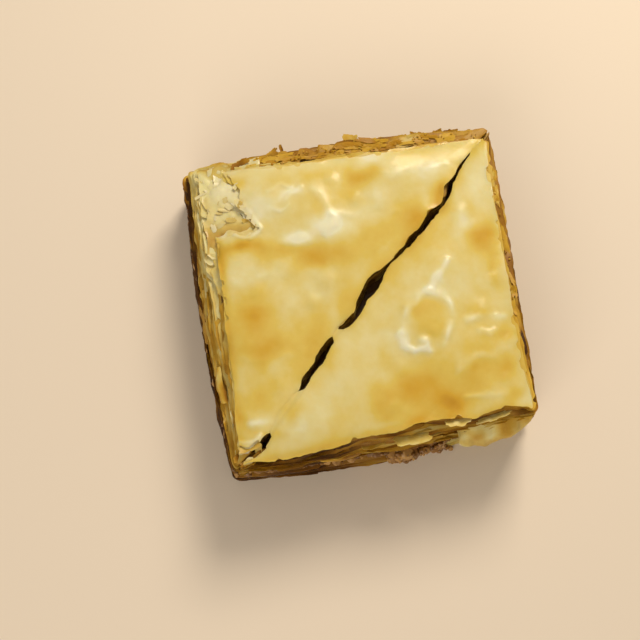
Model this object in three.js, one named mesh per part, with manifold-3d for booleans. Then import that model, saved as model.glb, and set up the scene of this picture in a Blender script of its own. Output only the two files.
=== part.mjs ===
// A square piece of baklava: a stack of syrup-soaked filo sheets, a layer of chopped nuts, and a
// taller crisp stack on top that a knife has split from corner to corner. Millimetres, +Z up, the
// piece lies on z = 0 with its middle over the origin. +X is its right side and +Y its back.

import * as THREE from "three";
import { mergeVertices } from "three/addons/utils/BufferGeometryUtils.js";
import Module from "manifold-3d";

const wasm = await Module();
wasm.setup();

// Heights of the layers.
const BASE_TOP = 7.2; // upper side of the bottom stack
const NUT_TOP = 12.6; // upper side of the nut layer
const PLATEAU = 24.5; // general height of the top sheet
const ABOVE = 30; // clear above everything
const RIM = 22; // where the top stack's side walls end
const FOOT_ROUNDING = 0.35; // how high the lowest edge stands off the surface it lies on
const LAYER_GAP = 0.3; // clearance between one layer and the next
const SHEET_THICKNESS = 1.1; // the uppermost few sheets, which hold together as one skin
const SKIN_BITE = 0.5; // how deep that skin is sunk into the stack below it
const SKIN_RAGGEDNESS = 0.6; // how uneven its edge is
const EDGE_DROOP = 0.35; // how far that edge hangs below the surface
const BURIED = 17; // a height well inside the top stack

// Corners of the piece's outline at four heights, and how far each side bows out between them. The
// crisp stack's front has crumbled unevenly as well: stations along it and how far it stands out.
const OUTLINES = {
  foot: {
    backRight: [36.6, 34.8],
    backLeft: [-37, 35.6],
    frontLeft: [-34.8, -35.6],
    frontRight: [36.6, -32.4],
    bow: { back: 1.2, left: 1.4, front: 2.4, right: 0.3 },
  },
  belt: {
    backRight: [36.4, 34.8],
    backLeft: [-36.4, 35.6],
    frontLeft: [-34, -35.8],
    frontRight: [35.6, -33],
    bow: { back: 1.6, left: 1.2, front: 1.5, right: 0.3 },
  },
  shoulder: {
    backRight: [36, 34.6],
    backLeft: [-32.8, 34.6],
    frontLeft: [-32.8, -35.2],
    frontRight: [34.8, -32.6],
    bow: { back: 1.4, left: 0.4, front: 0, right: 0.1 },
    uneven: {
      front: [[0, 0], [0.2, 0.7], [0.33, 0.6], [0.42, -1.2], [0.69, -1.2], [0.79, 0], [0.88, -0.7], [1, 0]],
    },
  },
  sheet: {
    backRight: [34.4, 31.8],
    backLeft: [-30.2, 33],
    frontLeft: [-31.8, -35],
    frontRight: [34, -32.6],
    bow: { back: -0.6, left: -0.3, front: 0, right: -0.8 },
    uneven: {
      front: [[0, 0], [0.25, 1.2], [0.35, 0.6], [0.42, -1.8], [0.69, -1.7], [0.8, 0], [0.88, -1.3], [1, 0]],
    },
  },
};

// The corners that each side joins, running anticlockwise seen from above.
const SIDES = {
  back: ["backRight", "backLeft"],
  left: ["backLeft", "frontLeft"],
  front: ["frontLeft", "frontRight"],
  right: ["frontRight", "backRight"],
};

// How long each side of a stack stays out at the belt before it slopes in to the shoulder:
// 1 is an even slope, more is a steeper wall with a rounder shoulder.
const TOP_WALL = { back: 3, left: 1.2, front: 1.8, right: 2.8 };
const BASE_WALL = { back: 1.5, left: 1.5, front: 2, right: 1.5 };

// The knife cut, from the back right corner (share 0) to the front left one (share 1): how far it
// strays sideways towards the back left, and how wide it stands open.
const CUT = [
  { share: 0, stray: 0, gap: 0.35 },
  { share: 0.05, stray: 0.4, gap: 0.5 },
  { share: 0.11, stray: -0.3, gap: 0.9 },
  { share: 0.175, stray: -1.1, gap: 1.6 },
  { share: 0.2, stray: -2, gap: 1.5 },
  { share: 0.26, stray: -1.5, gap: 1.4 },
  { share: 0.37, stray: -0.6, gap: 0.9 },
  { share: 0.42, stray: -0.1, gap: 1.2 },
  { share: 0.455, stray: 0.7, gap: 2.6 },
  { share: 0.5, stray: 0.3, gap: 2.6 },
  { share: 0.54, stray: -0.3, gap: 2 },
  { share: 0.6, stray: -0.1, gap: 1.4 },
  { share: 0.63, stray: 0.5, gap: 0.7 },
  { share: 0.665, stray: -0.3, gap: 1.8 },
  { share: 0.7, stray: -0.7, gap: 1.7 },
  { share: 0.775, stray: -1.1, gap: 0.35 },
  { share: 0.88, stray: -0.9, gap: 0.35 },
  { share: 0.935, stray: -0.6, gap: 3 },
  { share: 0.97, stray: -0.3, gap: 0.9 },
  { share: 1, stray: 0, gap: 0.35 },
];

// Where the uppermost sheets have flaked away, as outlines seen from above.
const TORN_CORNER = [
  [-24.6, 44], [-25.8, 32], [-23.4, 27.6], [-24.2, 23.6], [-21.9, 20.4], [-20.2, 17.6],
  [-22.8, 16.4], [-25.6, 17.4], [-28.2, 16.2], [-44, 18.4], [-44, 44],
];
const TORN_CORNER_DEEPER = [
  [-29.4, 44], [-29, 31], [-30.4, 27], [-28.9, 24.4], [-31.2, 21.6], [-44, 21], [-44, 44],
];
const TORN_TIP = [
  [-44, -30.2], [-32.4, -30.4], [-30.4, -31.3], [-28.8, -31.2], [-27.2, -30.4], [-24.4, -33.6],
  [-26, -44], [-44, -44],
];
const DEEPER_AT = [-30, 28]; // the middle of the second, deeper step
const DEEPER_STEP = 1.6; // and how much lower it lies

// How the top sheet falls towards its rim and, further, towards the torn back left corner, and the
// ripples that run all over it.
const SHEET_EDGES = { left: -32, right: 34, front: -35, back: 32 };
const RIM_FALL = { depth: 1.5, reach: 4 };
const CORNER_FALL = { depth: 2.2, reach: 9 };
const RIPPLE = { height: 0.25, length: 9 };

// Soft swellings and hollows of the top sheet: middle, height and radius of each.
const SWELLINGS = [
  { at: [13.7, -9.3], height: 0.7, radius: 6 },
  { at: [19.4, 3], height: 0.4, radius: 5 },
  { at: [26, -16], height: 0.5, radius: 6 },
  { at: [10, -25], height: -0.4, radius: 7 },
  { at: [-5, 18], height: 0.6, radius: 7 },
  { at: [-17, 23], height: 0.3, radius: 6 },
  { at: [12, 28], height: 0.5, radius: 6 },
  { at: [-25, -6], height: 0.5, radius: 8 },
  { at: [-12, -6], height: -0.4, radius: 7 },
  { at: [-17, -26], height: 0.4, radius: 6 },
];

// Flakes that stand off the side walls: the side, how far along it, their height, reach and width.
const FLAKES = [
  { side: "back", along: 0.14, z: 20.4, reach: 1.3, width: 13 },
  { side: "back", along: 0.42, z: 20.8, reach: 1.7, width: 6 },
  { side: "back", along: 0.62, z: 19.6, reach: 1, width: 12 },
  { side: "back", along: 0.84, z: 20.2, reach: 1.2, width: 5 },
  { side: "left", along: 0.2, z: 17.6, reach: 1.2, width: 11 },
  { side: "left", along: 0.48, z: 15.4, reach: 0.9, width: 15 },
  { side: "left", along: 0.77, z: 18, reach: 1, width: 9 },
];
const FLAKE_THICKNESS = 0.45;
const FLAKE_ROOT = 4; // how far a flake reaches into the stack
const FLAKE_POINTS = 5; // corners along its torn edge

// Where the nuts swell out of the front: how far along it, the reach and the half width.
const NUT_BULGE = { side: "front", along: 0.6, reach: 1.9, halfWidth: 0.09 };
const NUTS_PER_SIDE = 14;

// Spacing of the points round an outline and along the knife cut, and their rough lengths.
const SPACING = { side: 2.6, cut: 2.7 };
const SPAN = { side: 68, cut: 94 };
const EDGE_WAVES = { long: 11, short: 3.4 }; // lengths of the waves in the edge of a sheet
const CUT_WAVE = 3; // and in the faces of the cut
const CUT_RAGGEDNESS = 0.15; // how rough the knife left the two faces of the cut
const LIFT = { height: 0.45, length: 6 }; // how the edge of the top stack's lowest sheet lifts
const CUT_TAPER = 0.45; // share of the opening that is left at the bottom of the cut
const CUT_TUCK = 0.3; // how far the stack lies back under the skin along the cut

// What counts as a sliver where two pieces are joined.
const SHORTEST_EDGE = 0.18;
const THINNEST_FACE = 0.06;
const TIDY_ROUNDS = 8;

// A repeatable random number from 0 to 1 for one point of a lattice.
function chance(i, j, seed) {
  const v = Math.sin(i * 127.1 + j * 311.7 + seed * 74.7) * 43758.5453;
  return v - Math.floor(v);
}

// Smooth noise from -1 to 1.
function noise(x, y, seed) {
  const i = Math.floor(x);
  const j = Math.floor(y);
  const fade = (t) => t * t * (3 - 2 * t);
  const u = fade(x - i);
  const v = fade(y - j);
  const near = chance(i, j, seed) * (1 - u) + chance(i + 1, j, seed) * u;
  const far = chance(i, j + 1, seed) * (1 - u) + chance(i + 1, j + 1, seed) * u;
  return 2 * (near * (1 - v) + far * v) - 1;
}

const mix = (a, b, t) => a + (b - a) * t;
const mixPoint = (p, q, t) => [mix(p[0], q[0], t), mix(p[1], q[1], t)];

// The value at a share of a side's length, between stations of share and value.
function between(stations, share) {
  const next = Math.max(1, stations.findIndex(([at]) => at >= share));
  const [[from, low], [to, high]] = [stations[next - 1], stations[next]];
  return mix(low, high, (share - from) / (to - from));
}

// A point on one side of an outline, and the direction that faces out of it.
function sidePoint(outline, side, t) {
  const [from, to] = SIDES[side].map((corner) => outline[corner]);
  const length = Math.hypot(to[0] - from[0], to[1] - from[1]);
  const out = [(to[1] - from[1]) / length, (from[0] - to[0]) / length];
  const uneven = outline.uneven?.[side];
  const bow = outline.bow[side] * 4 * t * (1 - t) + (uneven ? between(uneven, t) : 0);
  const [x, y] = mixPoint(from, to, t);
  return { x: x + out[0] * bow, y: y + out[1] * bow, out };
}

// The cut's stray and gap at a share of its length.
function cutAt(share) {
  const next = Math.max(1, CUT.findIndex((station) => station.share >= share));
  const [a, b] = [CUT[next - 1], CUT[next]];
  const t = (share - a.share) / (b.share - a.share);
  return { stray: mix(a.stray, b.stray, t), gap: mix(a.gap, b.gap, t) };
}

// The nearest point of the knife's straight path, which joins two corners of the top sheet.
function onKnifePath([x, y]) {
  const [from, to] = [OUTLINES.sheet.backRight, OUTLINES.sheet.frontLeft];
  const [dx, dy] = [to[0] - from[0], to[1] - from[1]];
  return mixPoint(from, to, ((x - from[0]) * dx + (y - from[1]) * dy) / (dx * dx + dy * dy));
}

// A point on one face of the cut. The left half's face lies to the back left of the gap. Opening
// is the share of the gap's width that is left at this height, and tuck how far a face lies back.
function cutPoint(outline, share, half, { opening, tuck }) {
  const from = onKnifePath(outline.backRight);
  const to = onKnifePath(outline.frontLeft);
  const length = Math.hypot(to[0] - from[0], to[1] - from[1]);
  const toBackLeft = [(to[1] - from[1]) / length, (from[0] - to[0]) / length];
  const { stray, gap } = cutAt(share);
  const seed = half === "left" ? 11 : 12;
  const rough = CUT_RAGGEDNESS * (1 + noise((share * length) / CUT_WAVE, 0, seed));
  const apart = Math.max(gap * opening, LAYER_GAP) / 2 + rough + tuck;
  const away = stray + (half === "left" ? apart : -apart);
  const [x, y] = mixPoint(from, to, share);
  const sign = half === "left" ? -1 : 1;
  return {
    x: x + toBackLeft[0] * away,
    y: y + toBackLeft[1] * away,
    out: [toBackLeft[0] * sign, toBackLeft[1] * sign],
  };
}

// The places round a half or the whole piece at which an outline is sampled. A place is a share of
// one side, kept off the corner itself so that corners come out slightly blunt.
function placesRound(sides) {
  const places = [];
  for (const side of sides) {
    const kind = side.startsWith("cut") ? "cut" : "side";
    const count = Math.round(SPAN[kind] / SPACING[kind]);
    for (let n = 0; n < count; n++) {
      const t = (n + 0.5) / count;
      places.push({ side, t, arc: SPAN[kind] * t, onCut: kind === "cut" });
    }
  }
  return places;
}
const PLACES = {
  whole: placesRound(["back", "left", "front", "right"]),
  left: placesRound(["back", "left", "cutUp"]),
  right: placesRound(["front", "right", "cutDown"]),
};

// One place on an outline, for either half or the whole piece.
function outlinePoint(outline, place, half, cutShape = { opening: 1, tuck: 0 }) {
  if (place.side === "cutUp") return cutPoint(outline, 1 - place.t, half, cutShape);
  if (place.side === "cutDown") return cutPoint(outline, place.t, half, cutShape);
  return sidePoint(outline, place.side, place.t);
}

// How far a sheet's edge stands out of the wall or draws back from it: long waves, short ones and
// a reach of its own, so that no two edges of the stack are alike.
function edgeReach(place, sheet, seed) {
  if (place.onCut) return 0;
  const turn = Object.keys(SIDES).indexOf(place.side) * 9.7;
  const long = noise(place.arc / EDGE_WAVES.long + turn, sheet * 0.9, seed);
  const short = noise(place.arc / EDGE_WAVES.short + turn, sheet * 3.1, seed + 1);
  return 0.5 * long + 0.35 * short;
}

// The height of the top sheet: a low crown that falls towards the rim, with swellings and ripples.
function sheetHeight(x, y) {
  const { left, right, front, back } = SHEET_EDGES;
  const inset = Math.max(Math.min(right - x, x - left, back - y, y - front), 0);
  const fromCorner = Math.hypot(x - left, y - back);
  const fall = RIM_FALL.depth * Math.exp(-inset / RIM_FALL.reach);
  const cornerFall = CORNER_FALL.depth * Math.exp(-fromCorner / CORNER_FALL.reach);
  const ripple = RIPPLE.height * noise(x / RIPPLE.length, y / RIPPLE.length, 21);
  const swell = SWELLINGS.reduce((sum, { at, height, radius }) => {
    const reach = Math.hypot(x - at[0], y - at[1]) / radius;
    return sum + height * Math.exp(-reach * reach);
  }, 0);
  return PLATEAU - fall - cornerFall + ripple + swell;
}

// A closed body through a row of rings with equally many points, from the middle of its underside,
// up its wall, to the middle of its top.
function ringBody(rings) {
  const count = rings[0].length;
  const positions = rings.flat(2);
  const middleOf = (ring) => [0, 1, 2].map((k) => ring.reduce((s, p) => s + p[k], 0) / count);
  positions.push(...middleOf(rings[0]), ...middleOf(rings.at(-1)));
  const under = rings.length * count;
  const index = [];
  for (let i = 0; i < count; i++) {
    const j = (i + 1) % count;
    index.push(under, j, i);
    for (let r = 0; r + 1 < rings.length; r++) {
      const [a, b] = [r * count, (r + 1) * count];
      index.push(a + i, a + j, b + j, a + i, b + j, b + i);
    }
    const last = (rings.length - 1) * count;
    index.push(last + i, last + j, under + 1);
  }
  const geometry = new THREE.BufferGeometry();
  geometry.setAttribute("position", new THREE.Float32BufferAttribute(positions, 3));
  geometry.setIndex(index);
  return geometry;
}

// Rings that shrink from a rim to its middle, with their heights from a function of place.
function capRings(rim, shares, height) {
  const middle = [0, 1].map((k) => rim.reduce((sum, p) => sum + p[k], 0) / rim.length);
  return shares.map((share) =>
    rim.map(([x, y]) => {
      const [cx, cy] = mixPoint(middle, [x, y], share);
      return [cx, cy, height(cx, cy)];
    }),
  );
}

// A closed geometry as a manifold-3d solid, and back.
function toSolid(geometry) {
  const bare = geometry.index ? geometry.toNonIndexed() : geometry.clone();
  bare.deleteAttribute("normal");
  bare.deleteAttribute("uv");
  const merged = mergeVertices(bare, 1e-4);
  return new wasm.Manifold(
    new wasm.Mesh({
      numProp: 3,
      vertProperties: merged.attributes.position.array,
      triVerts: new Uint32Array(merged.index.array),
    }),
  );
}

// The thickness of a triangle: its height over its longest side.
function thicknessOf(spots, [a, b, c]) {
  const triangle = new THREE.Triangle(spots[a], spots[b], spots[c]);
  const sides = [spots[a].distanceTo(spots[b]), spots[b].distanceTo(spots[c]), spots[c].distanceTo(spots[a])];
  return (2 * triangle.getArea()) / Math.max(...sides);
}

function normalOf(spots, [a, b, c]) {
  return new THREE.Triangle(spots[a], spots[b], spots[c]).getNormal(new THREE.Vector3());
}

// Draws the two ends of each very short edge together, where that neither pinches the surface nor
// turns a face over.
function closeShortEdges(spots, faces) {
  const facesAt = spots.map(() => new Set());
  faces.forEach((face, n) => face.forEach((corner) => facesAt[corner].add(n)));
  const neighbours = (corner) => new Set([...facesAt[corner]].flatMap((n) => faces[n]));
  for (const face of [...faces]) {
    const edges = face.map((corner, k) => [corner, face[(k + 1) % 3]]);
    for (const [a, b] of edges) {
      if (a === b || facesAt[a].size === 0 || facesAt[b].size === 0) continue;
      if (spots[a].distanceTo(spots[b]) > SHORTEST_EDGE || !neighbours(a).has(b)) continue;
      const near = neighbours(b);
      const shared = [...neighbours(a)].filter((corner) => near.has(corner) && corner !== a && corner !== b);
      if (shared.length !== 2) continue;
      const middle = spots[a].clone().lerp(spots[b], 0.5);
      const moved = spots.slice();
      [moved[a], moved[b]] = [middle, middle];
      const holdsBoth = (n) => faces[n].includes(a) && faces[n].includes(b);
      const kept = [...facesAt[a], ...facesAt[b]].filter((n) => !holdsBoth(n));
      const turned = kept.some((n) => {
        if (thicknessOf(spots, faces[n]) < THINNEST_FACE) return false;
        return normalOf(spots, faces[n]).dot(normalOf(moved, faces[n])) < 0.5;
      });
      if (turned) continue;
      spots[a] = middle;
      for (const n of [...facesAt[b]]) {
        if (faces[n].includes(a)) {
          faces[n].forEach((corner) => facesAt[corner].delete(n));
          faces[n] = [];
        } else {
          faces[n] = faces[n].map((corner) => (corner === b ? a : corner));
          facesAt[a].add(n);
          facesAt[b].delete(n);
        }
      }
    }
  }
  return faces.filter((face) => face.length > 0);
}

// Turns the longest edge of each thin triangle, so that it and its neighbour become two fuller ones.
function turnThinFaces(spots, faces) {
  const key = (a, b) => `${a} ${b}`;
  const owner = new Map();
  const enter = (n) => faces[n].forEach((corner, k) => owner.set(key(corner, faces[n][(k + 1) % 3]), n));
  const leave = (n) => faces[n].forEach((corner, k) => owner.delete(key(corner, faces[n][(k + 1) % 3])));
  faces.forEach((_, n) => enter(n));
  faces.forEach((_, n) => {
    if (thicknessOf(spots, faces[n]) > THINNEST_FACE) return;
    const lengths = faces[n].map((corner, k) => spots[corner].distanceTo(spots[faces[n][(k + 1) % 3]]));
    const k = lengths.indexOf(Math.max(...lengths));
    const [a, b, c] = [faces[n][k], faces[n][(k + 1) % 3], faces[n][(k + 2) % 3]];
    const m = owner.get(key(b, a));
    const d = faces[m].find((corner) => corner !== a && corner !== b);
    if (c === d || owner.has(key(c, d)) || owner.has(key(d, c))) return;
    const turned = [[a, d, c], [d, b, c]];
    const before = Math.min(thicknessOf(spots, faces[n]), thicknessOf(spots, faces[m]));
    if (Math.min(...turned.map((face) => thicknessOf(spots, face))) <= before) return;
    leave(n);
    leave(m);
    [faces[n], faces[m]] = turned;
    enter(n);
    enter(m);
  });
  return faces;
}

// A joined solid as a geometry, without the slivers that a join leaves where two surfaces cross.
function toGeometry(solid) {
  const { vertProperties, triVerts } = solid.getMesh();
  const spots = [];
  for (let n = 0; n < vertProperties.length; n += 3) {
    spots.push(new THREE.Vector3().fromArray(vertProperties, n));
  }
  let faces = [];
  for (let n = 0; n < triVerts.length; n += 3) faces.push([...triVerts.slice(n, n + 3)]);
  for (let round = 0; round < TIDY_ROUNDS; round++) {
    faces = turnThinFaces(spots, closeShortEdges(spots, faces));
  }
  const geometry = new THREE.BufferGeometry();
  const positions = faces.flatMap((face) => face.flatMap((corner) => spots[corner].toArray()));
  geometry.setAttribute("position", new THREE.Float32BufferAttribute(positions, 3));
  const merged = mergeVertices(geometry, 1e-4);
  merged.computeVertexNormals();
  return merged;
}

// A prism over an outline seen from above, for cutting torn places out.
function prism(points, low, high) {
  const shape = new THREE.Shape(points.map(([x, y]) => new THREE.Vector2(x, y)));
  const geometry = new THREE.ExtrudeGeometry(shape, { depth: high - low, bevelEnabled: false });
  return toSolid(geometry.translate(0, 0, low));
}

// The wall of a stack of sheets: for each sheet an edge that stands out and a groove above it.
function stackWall({ half, edges, grooveDepth, reachScale, seed, lower, upper, wallShape, low, high }) {
  const rings = [];
  const steps = edges * 2;
  for (let step = 0; step <= steps; step++) {
    const q = step / steps;
    const isGroove = step % 2 === 1;
    rings.push(
      PLACES[half].map((place) => {
        const slope = place.onCut ? q : q ** wallShape[place.side];
        const cutShape = { opening: mix(CUT_TAPER, 1, q), tuck: CUT_TUCK };
        const from = outlinePoint(lower, place, half, cutShape);
        const to = outlinePoint(upper, place, half, cutShape);
        const groove = isGroove && !place.onCut ? grooveDepth : 0;
        const reach = reachScale * edgeReach(place, step, seed) - groove;
        const x = mix(from.x, to.x, slope) + from.out[0] * reach;
        const y = mix(from.y, to.y, slope) + from.out[1] * reach;
        return [x, y, mix(low(place), high(x, y), q)];
      }),
    );
  }
  return rings;
}

// A thin flake with a torn edge that grows out of a side wall and lifts a little at its free end.
function flake({ side, along, z, reach, width }, seed) {
  const shape = new THREE.Shape();
  shape.moveTo(-width / 2, -FLAKE_ROOT);
  shape.lineTo(width / 2, -FLAKE_ROOT);
  for (let n = 0; n <= FLAKE_POINTS; n++) {
    const t = n / FLAKE_POINTS;
    const edge = reach * Math.sqrt(4 * t * (1 - t)) * mix(0.5, 1, chance(seed, n, 31));
    shape.lineTo(width * (0.5 - t), edge);
  }
  const geometry = new THREE.ExtrudeGeometry(shape, { depth: FLAKE_THICKNESS, bevelEnabled: false });
  const slope = ((z - NUT_TOP) / (RIM - NUT_TOP)) ** TOP_WALL[side];
  const [low, high] = [OUTLINES.belt, OUTLINES.shoulder].map((outline) => sidePoint(outline, side, along));
  const [x, y] = mixPoint([low.x, low.y], [high.x, high.y], slope);
  const { out } = low;
  geometry.rotateX(0.3 * (chance(seed, 3, 32) - 0.2));
  geometry.rotateZ(Math.atan2(out[1], out[0]) - Math.PI / 2);
  return toSolid(geometry.translate(x, y, z));
}

// The skin of uppermost sheets over one half, before anything is torn off it.
function skin(half) {
  const rim = PLACES[half].map((place) => {
    const { x, y, out } = outlinePoint(OUTLINES.sheet, place, half);
    const ragged = SKIN_RAGGEDNESS * edgeReach(place, 0, half === "left" ? 5 : 6);
    return [x + out[0] * ragged, y + out[1] * ragged];
  });
  const underside = (x, y) => sheetHeight(x, y) - SHEET_THICKNESS - SKIN_BITE;
  const edge = (x, y) => sheetHeight(x, y) - EDGE_DROOP;
  return toSolid(
    ringBody([
      ...capRings(rim, [0.6], () => BURIED),
      ...capRings(rim, [0.97], underside),
      ...capRings(rim, [1], edge),
      ...capRings(rim, [0.97, 0.86, 0.72, 0.56, 0.38, 0.18], sheetHeight),
    ]),
  );
}

// One half of the top stack, from the nut layer up, without its skin.
function topStack(half) {
  const lift = (place) => LIFT.height * (1 + noise(place.arc / LIFT.length, 2, half === "left" ? 7 : 8));
  const low = (place) => NUT_TOP + LAYER_GAP + lift(place);
  const high = (x, y) => sheetHeight(x, y) - SHEET_THICKNESS;
  const wall = stackWall({
    half,
    edges: 4,
    grooveDepth: 0.7,
    reachScale: 0.9,
    seed: half === "left" ? 2 : 3,
    lower: OUTLINES.belt,
    upper: OUTLINES.shoulder,
    wallShape: TOP_WALL,
    low,
    high,
  });
  const flatUnderside = capRings(wall[0], [0.9], () => NUT_TOP + LAYER_GAP);
  const flatTop = capRings(wall.at(-1), [0.92, 0.6], high);
  return toSolid(ringBody([...flatUnderside, ...wall, ...flatTop]));
}

function topLeft() {
  const deeper = sheetHeight(...DEEPER_AT) - SHEET_THICKNESS - DEEPER_STEP;
  const tornSkin = skin("left")
    .subtract(prism(TORN_CORNER, NUT_TOP, ABOVE))
    .subtract(prism(TORN_TIP, NUT_TOP, ABOVE));
  const stack = topStack("left").subtract(prism(TORN_CORNER_DEEPER, deeper, ABOVE));
  return toGeometry(FLAKES.map(flake).reduce((whole, piece) => whole.add(piece), stack.add(tornSkin)));
}

function topRight() {
  return toGeometry(topStack("right").add(skin("right")));
}

// How much further the nuts stand out at one place of a side.
function nutSwell(side, t) {
  if (side !== NUT_BULGE.side) return 0;
  const reach = (t - NUT_BULGE.along) / NUT_BULGE.halfWidth;
  return NUT_BULGE.reach * Math.exp(-reach * reach);
}

// The nut layer: a rough slab, with pieces of chopped nut standing out of its sides.
function nutFilling() {
  const low = BASE_TOP + LAYER_GAP;
  const rows = 4;
  const wall = [];
  for (let row = 0; row <= rows; row++) {
    const tucked = row === 0 || row === rows ? 0.9 : 0.1;
    wall.push(
      PLACES.whole.map((place) => {
        const { x, y, out } = outlinePoint(OUTLINES.belt, place, "whole");
        const reach = edgeReach(place, row, 4) + nutSwell(place.side, place.t) - tucked;
        return [x + out[0] * reach, y + out[1] * reach, mix(low, NUT_TOP, row / rows)];
      }),
    );
  }
  const slab = ringBody([
    ...capRings(wall[0], [0.5], () => low),
    ...wall,
    ...capRings(wall.at(-1), [0.5], () => NUT_TOP),
  ]);
  return toGeometry(nutPieces().reduce((whole, piece) => whole.add(piece), toSolid(slab)));
}

// One piece of nut: a lump whose corners are chipped to different depths.
function chippedNut(radius, seed) {
  const nut = new THREE.IcosahedronGeometry(radius, 0);
  const corners = nut.attributes.position;
  for (let n = 0; n < corners.count; n++) {
    const [x, y, z] = [corners.getX(n), corners.getY(n), corners.getZ(n)].map((v) => v / radius);
    const corner = Math.round(10 * x) + 30 * Math.round(10 * y);
    const left = radius * mix(0.65, 1, chance(corner, Math.round(10 * z), seed));
    corners.setXYZ(n, x * left, y * left, z * left);
  }
  return nut;
}

// Chopped nuts, spread evenly round the layer with some disorder in place, size and turn.
function nutPieces() {
  const pieces = [];
  Object.keys(SIDES).forEach((side, s) => {
    for (let n = 0; n < NUTS_PER_SIDE; n++) {
      const pick = (k) => chance(n, k, 40 + s);
      const radius = mix(1.2, 2.2, pick(1) ** 1.5);
      const t = (n + mix(0.2, 0.8, pick(2))) / NUTS_PER_SIDE;
      const { x, y, out } = sidePoint(OUTLINES.belt, side, t);
      const clear = radius + 0.2;
      const z = mix(BASE_TOP + LAYER_GAP + clear, NUT_TOP - clear, pick(3));
      const outward = mix(-1.1, -0.4, pick(4)) + nutSwell(side, t);
      const nut = chippedNut(radius, 100 * s + n);
      nut.rotateZ(pick(8) * Math.PI).rotateX(pick(9) * Math.PI);
      nut.scale(mix(0.8, 1.1, pick(5)), mix(0.8, 1.1, pick(6)), mix(0.6, 0.9, pick(7)));
      pieces.push(toSolid(nut.translate(x + out[0] * outward, y + out[1] * outward, z)));
    }
  });
  return pieces;
}

// The bottom stack, soaked and pressed together, flat where it lies.
function base() {
  const wall = stackWall({
    half: "whole",
    edges: 3,
    grooveDepth: 0.8,
    reachScale: 0.8,
    seed: 9,
    lower: OUTLINES.foot,
    upper: OUTLINES.belt,
    wallShape: BASE_WALL,
    low: () => 0,
    high: () => BASE_TOP,
  });
  return ringBody([
    ...capRings(wall[0], [0.5, 0.985], () => 0),
    wall[0].map(([x, y]) => [x, y, FOOT_ROUNDING]),
    ...wall.slice(1),
    ...capRings(wall.at(-1), [0.5], () => BASE_TOP),
  ]);
}

// Finishes: syrup-glazed baked sheets, walnut skin in syrup, and paler soaked sheets.
const FINISHES = {
  crispFilo: { color: 0xdcbb66, roughness: 0.35 },
  nuts: { color: 0x6b4519, roughness: 0.5 },
  soakedFilo: { color: 0xc3a35a, roughness: 0.4 },
};

function addPiece(name, geometry, finish) {
  const piece = new THREE.Mesh(geometry, new THREE.MeshStandardMaterial({ ...finish, metalness: 0 }));
  piece.name = name;
  pastry.add(piece);
}

const pastry = new THREE.Group();
addPiece("filo_base", base(), FINISHES.soakedFilo);
addPiece("nut_filling", nutFilling(), FINISHES.nuts);
addPiece("filo_top_left", topLeft(), FINISHES.crispFilo);
addPiece("filo_top_right", topRight(), FINISHES.crispFilo);

// The uneven outline is moved so that the middle of its box stands over the origin.
const middle = new THREE.Box3().setFromObject(pastry).getCenter(new THREE.Vector3());
pastry.position.set(-middle.x, -middle.y, 0);

export default pastry;
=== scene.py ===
"""A square piece of baklava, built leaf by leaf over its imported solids.

The piece is a bottom stack of soaked filo, a layer of chopped walnut, and a taller crisp stack on
top that a knife has split from corner to corner. All sizes are in millimetres in the piece's own
frame: +X is its right side, +Y its back and +Z up. Meshes are written out in metres.
"""

import logging
from dataclasses import dataclass
from enum import Enum
from functools import cache, partial
from typing import Callable

import bmesh
import bpy
import numpy as np
from mathutils import Matrix, Vector
from mathutils.geometry import delaunay_2d_cdt


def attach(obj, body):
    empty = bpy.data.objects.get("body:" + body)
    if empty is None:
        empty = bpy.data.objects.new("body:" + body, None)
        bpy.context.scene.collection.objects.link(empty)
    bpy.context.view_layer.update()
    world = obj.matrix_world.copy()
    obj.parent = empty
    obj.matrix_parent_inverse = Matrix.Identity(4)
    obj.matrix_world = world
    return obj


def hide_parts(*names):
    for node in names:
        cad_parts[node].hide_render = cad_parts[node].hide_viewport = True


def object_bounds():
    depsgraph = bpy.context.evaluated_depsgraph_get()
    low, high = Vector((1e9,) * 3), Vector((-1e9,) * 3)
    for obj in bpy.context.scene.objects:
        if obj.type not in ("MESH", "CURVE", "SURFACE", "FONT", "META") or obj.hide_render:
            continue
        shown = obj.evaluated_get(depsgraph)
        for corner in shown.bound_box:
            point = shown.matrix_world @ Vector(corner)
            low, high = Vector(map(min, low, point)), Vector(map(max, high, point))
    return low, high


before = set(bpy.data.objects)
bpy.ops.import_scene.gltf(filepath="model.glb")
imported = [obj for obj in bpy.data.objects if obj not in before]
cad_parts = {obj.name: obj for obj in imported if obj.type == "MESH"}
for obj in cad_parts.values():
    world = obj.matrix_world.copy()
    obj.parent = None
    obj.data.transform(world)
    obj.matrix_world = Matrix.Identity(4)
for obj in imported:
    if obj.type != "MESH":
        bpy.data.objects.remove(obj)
CAD_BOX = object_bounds()

log = logging.getLogger("baklava")

MM = 0.001
HAIR = 1e-6  # how far inside the solids' box every point is kept, in metres
# The solids' outline is moved by this much, so that its middle stands over the origin.
SHIFT = np.array([0.24, -0.02, 0.0])

BASE_TOP = 7.2  # upper side of the bottom stack
NUT_TOP = 12.6  # upper side of the walnut layer
PLATEAU = 24.5  # general height of the top sheet
LAYER_GAP = 0.3  # room between the layers, and the least width of the cut
SKIN_THICKNESS = 1.1  # the uppermost few sheets, which hold together as one skin
SHEET_DROP = 0.3  # how far the drawn sheet lies below the solids' own, to leave room for its relief
CEILING = CAD_BOX[1][2] / MM - 0.02  # highest place that the drawn sheet may reach
HEADROOM = 0.3  # how far below it the sheet begins to level off

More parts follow.
